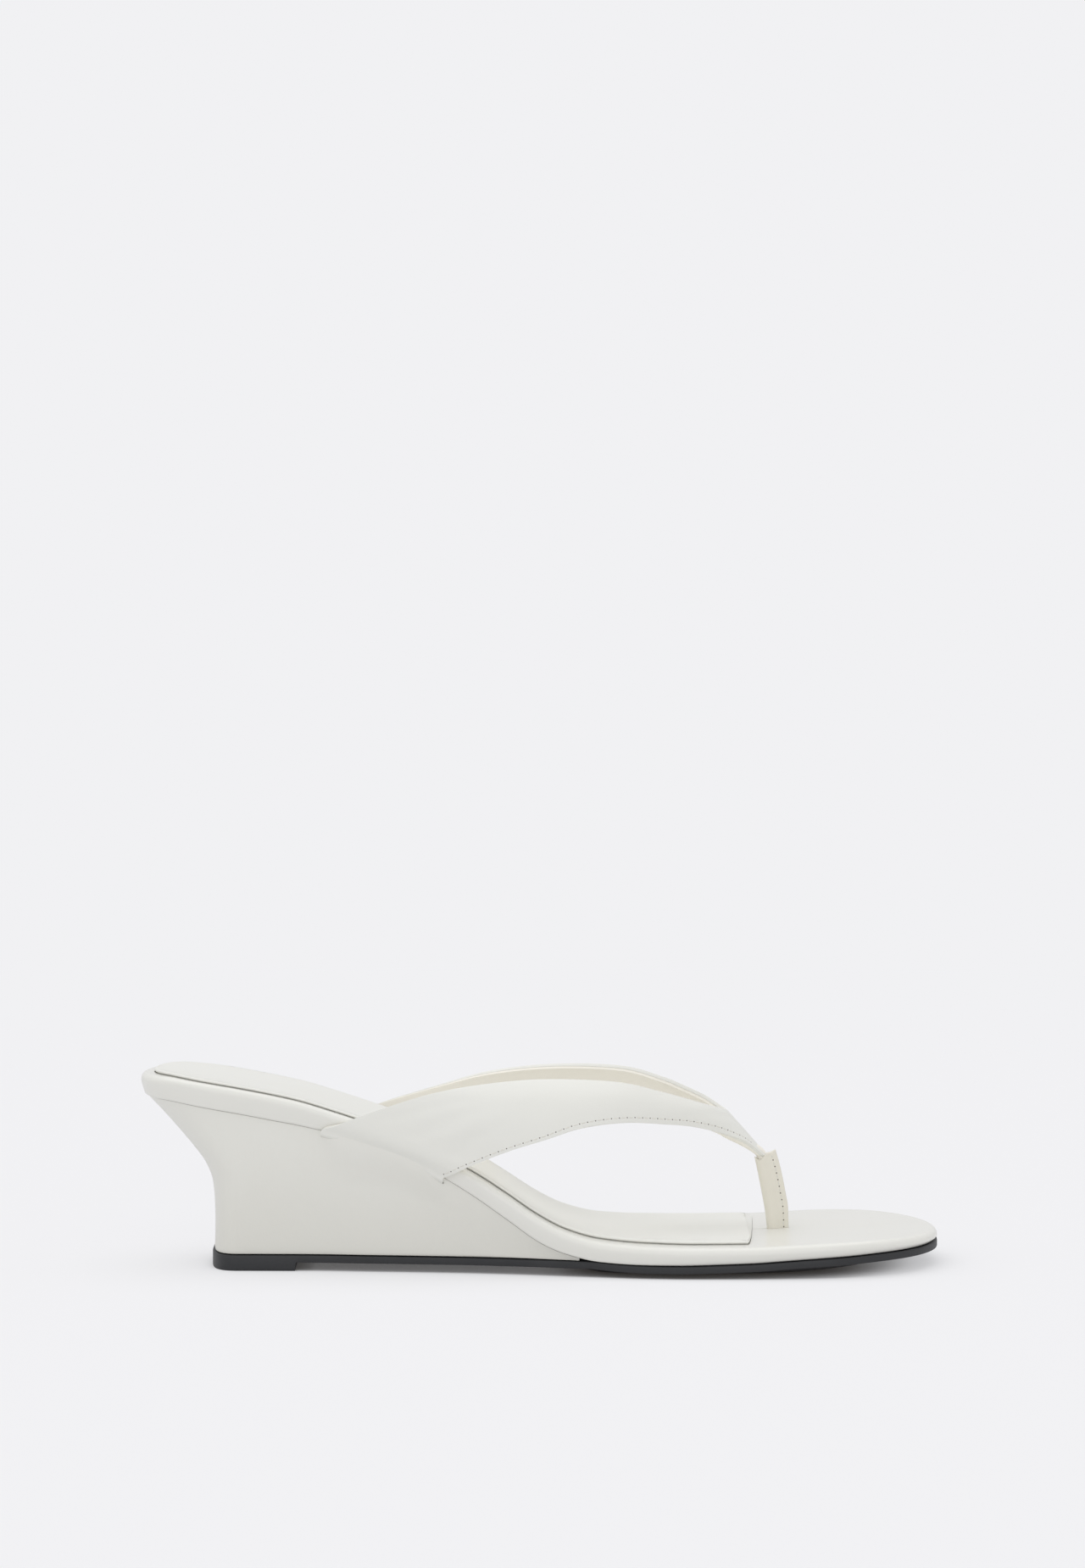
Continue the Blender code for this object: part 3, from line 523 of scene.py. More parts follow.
blackRubber = makeRubber("blackRubber", {
    "colour": (0.024, 0.025, 0.027), "shade": (0.034, 0.035, 0.038), "seam": (0.12, 0.12, 0.12),
    "cloud": 0.02, "cloudAmount": 0.6, "paintedShadeAmount": 0.4, "cell": 0.0006, "softness": 0.3,
    "grainDepth": 0.15, "bump": 0.35, "roughness": 0.52, "specular": 0.4, "rubSize": 0.018,
    "rubs": 0.14, "ribs": 120.0, "ribDepth": 0.0004,
})
print("materials ready")


# Marks how much painted shade each point gets, in the seam attribute for the tone group
def markPaintedShade(thing, nearness):
    layer = thing.data.attributes.new("seam", "FLOAT", "POINT")
    layer.data.foreach_set("value", [nearness(vertex.co) for vertex in thing.data.vertices])


# Sock: a thin padded sheet in its recess, with a straight slanted front
sock = {
    "thickness": 0.0018,
    "recess": 0.0009,
    "margin": 0.0040,
    "ballMargin": 0.0085,
    "front": 0.1833,
    "slant": 0.040,
    "slantStart": 0.75,
    "corner": 0.0010,
    "cornerSquareness": 2.6,
    "proud": 0.00112,  # height over the footbed, less at the skived front
    "frontProud": 0.00020,
    "skive": 0.0016,
    "crown": 0.0002,
    "gap": 0.00006,
    "spineInset": 0.004,
    "faceSteps": 20,
    "recessSteps": 3,
}
# Edge of the sock, undercut by the turned leather: (inset, share of its height over the footbed)
sockEdge = (
    (0.00095, 0.0),
    (0.00090, 0.185),
    (0.00024, 0.225),
    (0.00006, 0.36),
    (0.0, 0.50),
    (0.00006, 0.66),
    (0.00028, 0.83),
    (0.00070, 0.945),
    (0.00130, 0.99),
    (0.00200, 1.0),
)


def sockHalf(along):
    ballStart = footbed["heelCurve"] * 3
    ball = ease((along - ballStart) / footbed["heelCurve"])
    margin = sock["margin"] + (sock["ballMargin"] - sock["margin"]) * ball
    back = endRound(along - sock["margin"], footbed["heelCurve"] - sock["margin"], footbed["heelSquareness"])
    front = endRound(sock["front"] - along, sock["corner"], sock["cornerSquareness"])
    return (fullHalf(along) - margin) * back * front


def sockRings(grow, floor, side, roof, steps):
    places = stations(sock["margin"], sock["front"], footbed["heelCurve"] - sock["margin"], sock["corner"])
    loop = outline(places, sockHalf)
    slantStart = sock["front"] * sock["slantStart"]
    spineFront = sock["front"] - sock["spineInset"]

    def slanted(points):
        moved = []
        for s, y in points:
            share = ease((s - slantStart) / (sock["front"] - slantStart))
            moved.append((s + sock["slant"] * (y - centreLine(s)) * share, y))
        return moved

    def face(height):
        return [lifted(slanted(shrinkLoop(loop, share, footbed["heelCurve"], spineFront)), height)
                for share in shares(steps)]

    rings = face(floor)
    rings += [lifted(slanted(insetLoop(loop, inset - grow)), height) for inset, height in side]
    rings += reversed(face(roof))
    return rings


def makeSockRecess():
    def floor(s, y):
        return footbedTop(s, y) - sock["recess"]

    def roof(s, y):
        return footbedTop(s, y) + sock["thickness"]

    rings = sockRings(sock["gap"], floor, [(0.0, floor), (0.0, roof)], roof, sock["recessSteps"])
    return loft("sockRecess", rings)


def makeSock():
    def floor(s, y):
        return footbedTop(s, y) - sock["recess"] + shoe["gap"]

    def level(share, s, y):
        skived = ease((sock["front"] - s) / sock["skive"])
        proud = sock["frontProud"] + (sock["proud"] - sock["frontProud"]) * skived
        across = min(1.0, abs(y - centreLine(s)) / fullHalf(s))
        return footbedTop(s, y) + share * (proud + sock["crown"] * (1 - across ** 4))

    side = [(sockEdge[0][0], floor)]
    side += [(inset, lambda s, y, share=share: level(share, s, y)) for inset, share in sockEdge]
    rings = sockRings(0.0, floor, side, lambda s, y: level(1.0, s, y), sock["faceSteps"])
    return settle(loft("sockPad", rings), 50)


# Toe post: a folded leather sleeve, stitched near its front edge, with an open mouth for the straps' end
post = {
    "place": 0.7996 * shoe["length"],
    "side": 0.0020,
    "height": 0.0232,
    "width": 0.0065,
    "thickness": 0.0036,
    "seam": 0.0024,
    "ply": 0.0006,
    "slant": 0.12,
    "rings": 44,
    "mouthDepth": 0.0060,
    "mouthMiddle": 0.345,  # middle of the mouth, as a share of the width
    "mouthReach": 0.262,
    "stitchShare": 0.775,
    "stitchPitch": 0.00205,
    "slotGap": 0.00008,
    "rimBlend": (0.7, 0.3),  # share of the height where the rim's curve starts, and its reach
    # Length, width, depth of the middle and how much deeper the ends are
    "stitch": (0.0015, 0.00040, 0.00008, 0.00012),
    "needleHole": (0.00056, 0.00056, 0.00018, 0.0),
}
# Its edges, as (up, back, front) in shares of the height and the width
postRows = (
    (0.00, -0.500, 0.500),
    (0.24, -0.600, 0.480),
    (0.49, -0.755, 0.330),
    (0.76, -0.935, 0.125),
    (1.00, -1.080, -0.100),
)
postCurves = tableCurves(("up", "back", "front"), postRows)
# Rim of the sleeve: how far it rises over its cut line, at shares of the width
rimCurve = makeCurve((0.0, 0.25, 0.57, 0.80, 1.0), (-0.0009, -0.0022, -0.0009, -0.0008, -0.0003))
# Half thickness of the sleeve at shares of its width, as shares of half its thickness
sleeveCurve = makeCurve((0.0, 0.30, 0.55, 0.68, 0.78, 0.90, 1.0), (1.0, 1.0, 0.97, 0.80, 0.69, 0.68, 0.62))


def postFoot():
    return at(post["place"], post["side"], footbedMiddle(post["place"]))


def postMouth():
    middle = (postRows[-1][1] + postRows[-1][2]) / 2
    return postFoot() + Vector((middle * post["width"], 0.0, post["height"]))


def postEdges(share):
    back = post["place"] + postCurves["back"](share) * post["width"]
    front = post["place"] + postCurves["front"](share) * post["width"]
    return back, front


# Section of the sleeve as (share of the width, sideways): round at its back, pinched at its front
def sleeveSection(grow):
    half = post["thickness"] / 2
    corner = half / post["width"]
    roundSteps = 12
    sideSteps = 14
    sideEnd = 0.985
    points = []
    for k in range(roundSteps + 1):
        turn = math.pi / 2 + math.pi * k / roundSteps
        points.append((corner * (1 + math.cos(turn)), (half + grow) * math.sin(turn)))
    along = [corner + (sideEnd - corner) * (k + 1) / sideSteps for k in range(sideSteps)]
    near = [(share, -(half * sleeveCurve(share) + grow)) for share in along]
    seamHalf = post["seam"] / 2
    front = [(1.0, -0.62), (0.99, -0.12), (0.99, 0.12), (1.0, 0.62)]  # both cut edges, with the seam between
    front = [(share, seamHalf * side) for share, side in front]
    return points + near + front + [(share, -side) for share, side in reversed(near)]


# One level of the sleeve at a share of its height. grow and rise widen and lift it, rise in plies.
def sleeveRing(around, share, grow=0.0, rise=0.0):
    back, front = postEdges(share)
    back -= grow
    front += grow
    z = postFoot().z + post["height"] * share
    slant = post["width"] * post["slant"] * share
    start, reach = post["rimBlend"]
    ring = []
    for across, side in around:
        lift = rimCurve(across) * ease((share - start) / reach)
        height = z - slant + 2 * slant * across + lift + rise * post["ply"]
        ring.append(Vector((xOf(back) + (front - back) * across, post["side"] + side, height)))
    return ring


def makeSleeve():
    around = sleeveSection(0.0)
    tailZ = footbedBottom(post["place"]) + shoe["gap"]
    rings = [[Vector((p.x, p.y, tailZ)) for p in sleeveRing(around, 0.0)]]
    rings += [sleeveRing(around, i / post["rings"]) for i in range(post["rings"] + 1)]
    inner = []
    cavity = post["thickness"] / 2 - post["ply"]
    for across, side in around:
        turn = math.atan2(side / cavity, (across - post["mouthMiddle"]) / post["mouthReach"])
        inner.append((post["mouthMiddle"] + post["mouthReach"] * math.cos(turn), cavity * math.sin(turn)))
    for share in (0.2, 0.65):  # the rounded lip
        lip = [[a * (1 - share) + b * share for a, b in zip(*pair)] for pair in zip(around, inner)]
        rings.append(sleeveRing(lip, 1.0, rise=0.2))
    deep = post["mouthDepth"] / post["height"]
    rings += [sleeveRing(inner, 1.0 - deep * step / 6, rise=-0.1) for step in range(7)]
    return settle(loft("toePostSleeve", rings, capped=True), 55)


# Stitches or needle holes, one at each (middle, direction, outward). sink is how deep their middles lie,
# and arch how much deeper their ends do.
def makeBeads(name, beads, length, width, sink, arch):
    builder = bmesh.new()
    rings = 7
    for middle, ahead, out in beads:
        ahead = ahead.normalized()
        across = ahead.cross(out).normalized()
        out = across.cross(ahead).normalized()
        rows = []
        for i in range(rings):
            t = -1 + 2 * i / (rings - 1)
            radius = width / 2 * max(0.12, math.sqrt(max(0.0, 1 - t ** 4)))
            centre = middle + ahead * t * length / 2 - out * (sink + arch * t * t)
            spokes = [across * math.cos(turn) + out * math.sin(turn) for turn in fullTurn(8)]
            rows.append([builder.verts.new(centre + spoke * radius) for spoke in spokes])
        bridge(builder, rows, True)
    bmesh.ops.recalc_face_normals(builder, faces=builder.faces)
    data = meshFrom(builder, name)
    data.shade_smooth()
    return newObject(name, data)


# Points evenly spaced on a line of (point, outward)
def spaced(line, pitch, start=0.0):
    found = []
    reach = start
    walked = 0.0
    for (a, outA), (b, outB) in zip(line, line[1:]):
        size = (b - a).length
        while size > 0 and reach <= walked + size:
            share = (reach - walked) / size
            found.append((a.lerp(b, share), (b - a).normalized(), outA.lerp(outB, share).normalized()))
            reach += pitch
        walked += size
    return found


# Needle holes along the lines, as beads dark with painted shade, with a stitch between each two
def addStitches(name, owner, lines):
    pitch = owner["stitchPitch"]
    stitches = [bead for line in lines for bead in spaced(line, pitch, pitch / 2)]
    holes = [bead for line in lines for bead in spaced(line, pitch)]
    addPiece(makeBeads(name + "Stitches", stitches, *owner["stitch"]), thread)
    addPiece(makeBeads(name + "NeedleHoles", holes, *owner["needleHole"]), needleHole)


def postLine(side):
    out = Vector((0.0, side, 0.0))
    start = 0.02
    end = 0.95
    steps = 60
    place = (post["stitchShare"], side * post["thickness"] / 2 * sleeveCurve(post["stitchShare"]))
    return [(sleeveRing([place], start + (end - start) * i / steps)[0], out) for i in range(steps + 1)]


# Straps: two branches from the seam under the footbed to the mouth of the toe post
strap = {
    "wall": 0.0018,
    "baseWall": 0.0012,
    "bulge": 0.0016,
    "instep": 0.0465,
    "tail": 0.0085,
    "base": {-1: (0.22887 * shoe["length"], 0.38075 * shoe["length"]),
             1: (0.25858 * shoe["length"], 0.4113 * shoe["length"])},
    "emerge": 0.45,  # where between knee and body the strap passes the footbed's edge
    "leather": 0.0010,
    "lining": 0.0008,
    "edgeLining": 0.0015,
    "liningInset": 0.00012,
    "across": 44,
    "rowsPerStep": 7,
    "kneeRows": 8,
    "edgeRound": 0.00032,
    "liningRound": 0.00014,
    "tailRows": 6,
    "easings": 6,
    "easeRows": (10, 8),
    "stepShift": 3.0,  # makes each step over 0, so that its sign can tell the side
    "neckStep": 8.6,
    "glue": 0.00003,
    "swellSteps": (4.0, 3.5),  # where the lining's low edge swells, and over how many steps
    "thinSteps": (7.0, 2.0, 0.3),  # where it thins again, over how many steps, and by what share
    "baseShare": 0.6,  # share of its thickness that it has at the base
    "stitchSteps": (-0.75, 9.2),
    "stitchInset": 0.0013,
    "stitchPitch": 0.00257,
    "stitch": (0.0019, 0.00042, 0.000105, 0.0001),
    "needleHole": (0.00052, 0.00052, 0.0001872, 0.0),
}
# Edges of the branches, as (along, out, up) of the low one, towards the toes, and then of the top one,
# towards the ankle
strapRows = {
    -1: (
        (0.409, 0.865, 0.024, 0.277, 0.780, 0.034),
        (0.459, 0.877, 0.288, 0.345, 0.769, 0.277),
        (0.510, 0.853, 0.535, 0.414, 0.708, 0.533),
        (0.553, 0.781, 0.686, 0.499, 0.605, 0.847),
        (0.607, 0.648, 0.746, 0.594, 0.467, 0.970),
        (0.661, 0.480, 0.729, 0.647, 0.347, 0.914),
        (0.688, 0.383, 0.710, 0.675, 0.282, 0.873),
        (0.716, 0.287, 0.670, 0.704, 0.190, 0.822),
        (0.744, 0.178, 0.609, 0.733, 0.000, 0.764),
    ),
    1: (
        (0.436, 0.658, 0.024, 0.305, 0.634, 0.045),
        (0.484, 0.664, 0.288, 0.372, 0.622, 0.301),
        (0.531, 0.646, 0.535, 0.436, 0.580, 0.578),
        (0.570, 0.593, 0.690, 0.516, 0.504, 0.890),
        (0.619, 0.513, 0.755, 0.602, 0.393, 0.996),
        (0.669, 0.388, 0.740, 0.652, 0.284, 0.950),
        (0.693, 0.316, 0.718, 0.679, 0.212, 0.903),
        (0.718, 0.236, 0.675, 0.707, 0.130, 0.843),
        (0.744, 0.154, 0.609, 0.733, 0.000, 0.764),
    ),
}
# Where both branches run on into the toe post: (ahead, out, up) from the middle of its mouth, and the
# rolled core that they close round, as (ahead, up, half its width, half its depth)
neck = {
    "low": ((-0.0050, 0.0042, 0.0021), (0.0003, 0.0005, -0.0024)),
    "top": ((-0.0047, 0.0, 0.0037), (0.0010, 0.0, -0.0022)),
    "core": (
        (-0.0135, 0.0052, 0.0008, 0.0003),
        (-0.0115, 0.0046, 0.0026, 0.0008),
        (-0.0095, 0.0040, 0.0036, 0.0011),
        (-0.0071, 0.0030, 0.0036, 0.00125),
        (-0.0040, 0.0014, 0.0025, 0.0014),
        (-0.0016, -0.0004, 0.0013, 0.0015),
        (-0.0008, -0.0026, 0.0011, 0.00145),
        (-0.0005, -0.0052, 0.0011, 0.0014),
    ),
    "rows": 40,
    "sides": 32,
}
# Soft creases, as (step, across, step to, across to, width, depth), with steps in rows of the
# table and across in shares of the width. depth is below the skin, and a ridge has a negative one.
creases = {
    -1: (
        (0.10, 0.15, 0.90, 0.30, 0.0022, 0.00022),
        (0.15, 0.55, 1.30, 0.62, 0.0026, 0.00018),
        (0.40, 0.85, 1.50, 0.80, 0.0024, 0.00016),
        (1.60, 0.20, 2.40, 0.45, 0.0040, 0.00014),
        (5.60, 0.25, 7.20, 0.45, 0.0016, 0.00016),
        (6.80, 0.55, 8.20, 0.70, 0.0014, 0.00020),
        (0.60, 0.42, 1.60, 0.48, 0.0030, -0.00014),
    ),
    1: (
        (0.10, 0.20, 1.00, 0.28, 0.0024, 0.00020),
        (0.20, 0.65, 1.40, 0.60, 0.0026, 0.00018),
        (1.80, 0.30, 2.60, 0.50, 0.0040, 0.00014),
        (5.80, 0.30, 7.40, 0.50, 0.0016, 0.00018),
        (0.70, 0.45, 1.60, 0.50, 0.0030, -0.00014),
    ),
}


def curveThrough(points, share):
    count = len(points) - 1
    place = min(max(share, 0.0), 1.0) * count
    i = min(int(place), count - 1)
    t = place - i
    p1 = points[i]
    p2 = points[i + 1]
    p0 = points[i - 1] if i > 0 else p1 * 2 - p2
    p3 = points[i + 2] if i + 2 <= count else p2 * 2 - p1
    m1 = (p2 - p0) / 2
    m2 = (p3 - p1) / 2
    t2 = t * t
    t3 = t2 * t
    return p1 * (2 * t3 - 3 * t2 + 1) + m1 * (t3 - 2 * t2 + t) + p2 * (3 * t2 - 2 * t3) + m2 * (t3 - t2)


def overFootbed(alongShare, out, up, side):
    s = shoe["length"] * alongShare
    y = post["side"] + side * out * shoe["ballWidth"] / 2
    return at(s, y, footbedMiddle(s) + up * strap["instep"])


def strapEdges(side):
    low = [overFootbed(*row[:3], side) for row in strapRows[side]]
    top = [overFootbed(*row[3:], side) for row in strapRows[side]]
    mouth = postMouth()
    for edge, places in ((low, neck["low"]), (top, neck["top"])):
        edge += [mouth + Vector((ahead, side * out, up)) for ahead, out, up in places]
    return low, top


# The middle surface of one branch: rows of points from the tail's end to the mouth, and each row's step
# in the table, which is below 0 under the footbed. inset draws both edges in.
def strapSurface(side, inset=0.0):
    low, top = strapEdges(side)
    crotch = len(strapRows[side]) - 1
    last = len(low) - 1
    radius = shoe["gap"] + strap["wall"] / 2
    back, front = strap["base"][side]

    def topEdge(step):
        if step <= crotch:
            return curveThrough(top[:crotch + 1], step / crotch)
        return curveThrough(top[crotch:], (step - crotch) / (last - crotch))

    meet = 0.6  # steps over which the inset ends where the branches meet

    def spread(width, step):
        share = min(inset / width, 0.3)
        join = 1 - ease((step - crotch + meet) / meet)
        return [share + (1 - share - share * join) * j / strap["across"] for j in range(strap["across"] + 1)]

    def bodyRow(step):
        a = curveThrough(low, step / last)
        b = topEdge(step)
        reach = 0.15
        ahead = curveThrough(low, (step + reach) / last) - curveThrough(low, (step - reach) / last)
        ahead += topEdge(min(step + reach, last)) - topEdge(max(step - reach, 0.0))
        outward = ahead.cross(b - a).normalized() * -side
        share = step / (crotch + 1)
        bulge = outward * strap["bulge"] * (ease(share * 4) * ease((1 - share) * 4)) * 4
        return [a.lerp(b, v) + bulge * v * (1 - v) for v in spread((b - a).length, step)]

    def baseRow(offset, rise):
        row = []
        for v in spread(front - back, 0.0):
            s = front + (back - front) * v
            edge = footbedEdge(s, side) - side * footbed["lean"]
            row.append(at(s, edge + side * offset, footbedBottom(s) + rise))
        return row

    rows = [baseRow(-strap["tail"] * (1 - k / strap["tailRows"]), -radius) for k in range(strap["tailRows"])]
    for turn in quarterTurn(strap["kneeRows"]):
        rows.append(baseRow(radius * math.sin(turn), -radius * math.cos(turn)))
    steps = [-2.0] * strap["tailRows"] + [-1.0] * (strap["kneeRows"] + 1)
    knee = rows[-1]
    first = bodyRow(0.0)
    second = bodyRow(1.0)
    emerge = []
    for a, b in zip(knee, first):
        point = a.lerp(b, strap["emerge"])
        point.y = footbedEdge(alongOf(point.x), side) + side * radius
        emerge.append(point)
    under = [Vector((p.x, p.y, p.z - (q - p).length)) for p, q in zip(knee, emerge)]
    for k in range(1, 2 * strap["rowsPerStep"]):
        share = (1 + k / strap["rowsPerStep"]) / 4
        rows.append([curveThrough(list(five), share) for five in zip(under, knee, emerge, first, second)])
        steps.append(-1.0 + k / (2 * strap["rowsPerStep"]))
    join = len(rows)
    count = last * strap["rowsPerStep"]
    for k in range(count + 1):
        rows.append(bodyRow(last * k / count))
        steps.append(last * k / count)
    below, above = strap["easeRows"]
    for _ in range(strap["easings"]):  # eases the bend where the strap leaves the seam
        smooth = [list(row) for row in rows]
        for i in range(join - below, join + above):
            for j in range(len(rows[i])):
                smooth[i][j] = rows[i - 1][j] * 0.25 + rows[i][j] * 0.5 + rows[i + 1][j] * 0.25
        rows = smooth
    return rows, steps


def creaseDepth(side, step, v, width):
    depth = 0.0
    stepLength = 0.0105  # mean length of one row of the table
    for stepA, acrossA, stepB, acrossB, reach, deep in creases[side]:
        ax, ay = stepA * stepLength, acrossA * width
        bx, by = stepB * stepLength, acrossB * width
        px, py = step * stepLength, v * width
        run = (bx - ax) ** 2 + (by - ay) ** 2
        t = min(max(((px - ax) * (bx - ax) + (py - ay) * (by - ay)) / run, 0.0), 1.0)
        away = math.hypot(px - ax - t * (bx - ax), py - ay - t * (by - ay))
        depth += deep * math.exp(-(away / reach) ** 2)
    return depth


# Both branches as one skin, joined along the ridge over the toe post. Each vertex holds its side and step
# as one number, its share of the width, and the width.
def joinedSkin(inset):
    builder = bmesh.new()
    info = builder.verts.layers.float_vector.new("info")
    for side in (-1, 1):
        rows, steps = strapSurface(side, inset)
        grid = []
        for row, step in zip(rows, steps):
            width = (row[-1] - row[0]).length
            grid.append([builder.verts.new(point) for point in row])
            for j, vertex in enumerate(grid[-1]):
                vertex[info] = Vector((side * (step + strap["stepShift"]), j / strap["across"], width))
        for low, high in zip(grid, grid[1:]):
            for j in range(len(low) - 1):
                builder.faces.new((low[j], low[j + 1], high[j + 1], high[j]))
    bmesh.ops.remove_doubles(builder, verts=builder.verts, dist=2e-6)
    bmesh.ops.recalc_face_normals(builder, faces=builder.faces)
    builder.normal_update()
    middle = max(builder.verts, key=lambda vertex: vertex.co.z)
    if middle.normal.z < 0:  # faces out, over the foot
        bmesh.ops.reverse_faces(builder, faces=builder.faces)
        builder.normal_update()
    return builder, info


# Share of the way into the neck, from the step where the straps begin to thin to it
def intoNeck(step, reach=1.0):
    return ease((step - strap["neckStep"]) / reach)


def skinRise(step):
    base = strap["baseWall"] / 2
    full = strap["wall"] / 2
    rise = base + (full - base) * ease(step + 1.0)
    return rise + (base - full) * intoNeck(step)


def leatherRise(side, step, v, width):
    return skinRise(step) - (creaseDepth(side, step, v, width) if step > 0 else 0.0)


# One layer of the straps, inward from the surface that rise gives. depth, if there is one, gives the share
# of the thickness at each place.
def makeLayer(name, inset, rise, thickness, edgeRound, edgeSteps, depth=None):
    builder, info = joinedSkin(inset)
    moved = []
    shares = []
    for vertex in builder.verts:
        code, v, width = vertex[info]
        step = abs(code) - strap["stepShift"]
        moved.append(vertex.co + vertex.normal * rise(-1 if code < 0 else 1, step, v, width))
        shares.append(depth(step, v) if depth else 1.0)
    for vertex, point in zip(builder.verts, moved):
        vertex.co = point
    thing = newObject(name, meshFrom(builder, name))
    wall = thing.modifiers.new("wall", "SOLIDIFY")
    wall.thickness = thickness
    wall.offset = -1.0
    wall.use_quality_normals = True
    if depth:
        group = thing.vertex_groups.new(name="depth")
        for index, share in enumerate(shares):
            group.add([index], share, "REPLACE")
        wall.vertex_group = "depth"
    edge = thing.modifiers.new("edge", "BEVEL")
    edge.width = edgeRound
    edge.segments = edgeSteps
    edge.limit_method = "ANGLE"
    edge.angle_limit = math.radians(50)
    bpy.context.view_layer.update()
    return settle(thing, 60)


def makeStrapLeather():
    return makeLayer("strapLeather", 0.0, leatherRise, strap["leather"], strap["edgeRound"], 3)


# The lining is thicker at the low edge near the toe post, and thin at the base and in the neck
def makeStrapLining():
    thick = strap["edgeLining"]
    under = strap["leather"] + strap["glue"]

    def rise(side, step, v, width):
        return skinRise(step) - under

    def depth(step, v):
        start, reach = strap["swellSteps"]
        swell = ease((step - start) / reach) * (1 - v) ** 3 * (1 - intoNeck(step, 0.8))
        full = strap["lining"] + (thick - strap["lining"]) * swell
        base = strap["baseShare"]
        start, reach, loss = strap["thinSteps"]
        thin = base + (1 - base) * ease(step + 1.0) - loss * ease((step - start) / reach)
        return full * thin / thick

    return makeLayer("strapLining", strap["liningInset"], rise, thick, strap["liningRound"], 2, depth)


# The rolled core of the neck, which the sleeve's mouth closes round
def makeNeckCore():
    mouth = postMouth()
    path = [mouth + Vector((ahead, 0.0, up)) for ahead, up, _, _ in neck["core"]]
    sizes = [Vector((side, deep, 0.0)) for _, _, side, deep in neck["core"]]
    across = Vector((0.0, 1.0, 0.0))
    turns = fullTurn(neck["sides"])
    reach = 0.02
    rings = []
    for i in range(neck["rows"] + 1):
        share = i / neck["rows"]
        middle = curveThrough(path, share)
        ahead = (curveThrough(path, share + reach) - curveThrough(path, share - reach)).normalized()
        lift = ahead.cross(across).normalized()
        side, deep, _ = curveThrough(sizes, share)
        rings.append([middle + across * math.cos(turn) * side + lift * math.sin(turn) * deep
                      for turn in turns])
    return settle(loft("strapNeck", rings, capped=True), 60)


# The stitch line along the lower edge of one branch, on the outer skin
def stitchLine(side):
    rows, steps = strapSurface(side)
    first, last = strap["stitchSteps"]
    line = []
    for row, after, step in zip(rows, rows[1:], steps):
        if step < first or step > last:
            continue
        width = (row[-1] - row[0]).length
        v = strap["stitchInset"] / width
        j = int(v * strap["across"])
        share = v * strap["across"] - j
        point = row[j].lerp(row[j + 1], share)
        above = after[j].lerp(after[j + 1], share)
        out = (above - point).cross(row[j + 1] - row[j]).normalized()
        level = abs(out.y) < 0.2 and out.z > 0
        out *= 1 if out.y * side > 0 or level else -1
        line.append((point + out * leatherRise(side, step, v, width), out))
    return line


# Outsole with its heel pad
outsole = {
    "padThickness": 0.0046,
    "padLength": 0.0252,
    "corner": 0.0090,
    "squareness": 3.0,
    "back": 0.0215,
    "edge": 0.0021,
    "waistLift": 0.0023,
    "waistEnd": 0.58996 * shoe["length"],
    "springStart": 0.75732 * shoe["length"],
    "toeLift": 0.0050,
    "tread": 0.62,  # share of the half width that lies flat
    "bendShares": (0.68, 0.74, 0.80, 0.86, 0.91, 0.95, 0.98),
    "stepWidth": 0.0003,
    "faceSteps": 6,
    "bevel": 0.00025,
}


def soleHalf(along):
    back = endRound(along - outsole["back"], outsole["corner"], outsole["squareness"])
    return fullHalf(along) * section("sole", along) * back * toeRound(along)


def soleTop(along):
    seat = footbedBottom(along) - shoe["gap"]
    return seat if along > outsole["waistEnd"] else min(outsole["padThickness"], seat)


# How far a place is past the breast of the heel pad: 0 on the pad, 1 beyond the step
def pastBreast(along):
    return ease((along - outsole["back"] - outsole["padLength"]) / outsole["stepWidth"])


def soleLift(along):
    if along < outsole["waistEnd"]:
        rise = outsole["waistLift"] * pastBreast(along)
        return rise * ease((outsole["waistEnd"] - along) / (outsole["corner"] * 2))
    spring = (along - outsole["springStart"]) / (shoe["length"] - outsole["springStart"])
    return outsole["toeLift"] * ease(max(spring, 0.0) * 0.5) * 2


def makeOutsole():
    breast = outsole["back"] + outsole["padLength"]
    extra = (breast, breast + outsole["stepWidth"] / 2, breast + outsole["stepWidth"],
             outsole["waistEnd"], outsole["springStart"])
    places = stations(outsole["back"], shoe["length"], outsole["corner"], footbed["toeCurve"], extra)
    loop = outline(places, soleHalf)
    back = outsole["back"] + outsole["corner"]
    front = shoe["length"] - footbed["toeCurve"]
    tread = outsole["tread"]
    bevel = outsole["bevel"]
    corner = ((0.0, bevel), (bevel * 0.3, bevel * 0.3), (bevel, 0.0))

    def under(share, inset=0.0, raised=0.0):
        bend = ease((share - tread) / (1 - tread))
        ring = []
        for (s, y), (t, _) in zip(shrinkLoop(loop, share, back, front, inset), loop):
            edge = (soleTop(t) - outsole["edge"]) * pastBreast(t)
            height = soleLift(s) + (edge - soleLift(s)) * bend
            ring.append(at(s, y, height + raised))
        return ring

    rings = [under(i * tread / 8) for i in range(9)]
    rings += [under(share) for share in outsole["bendShares"]]
    rings += [under(1.0, inset, raised) for raised, inset in corner]
    for inset, drop in corner:
        rings.append(lifted(insetLoop(loop, inset), lambda s, y: soleTop(s) - drop))
    rings += reversed(faceRings(loop, back, front, lambda s, y: soleTop(s), outsole["faceSteps"], bevel))
    return settle(loft("outsoleRubber", rings), 40)


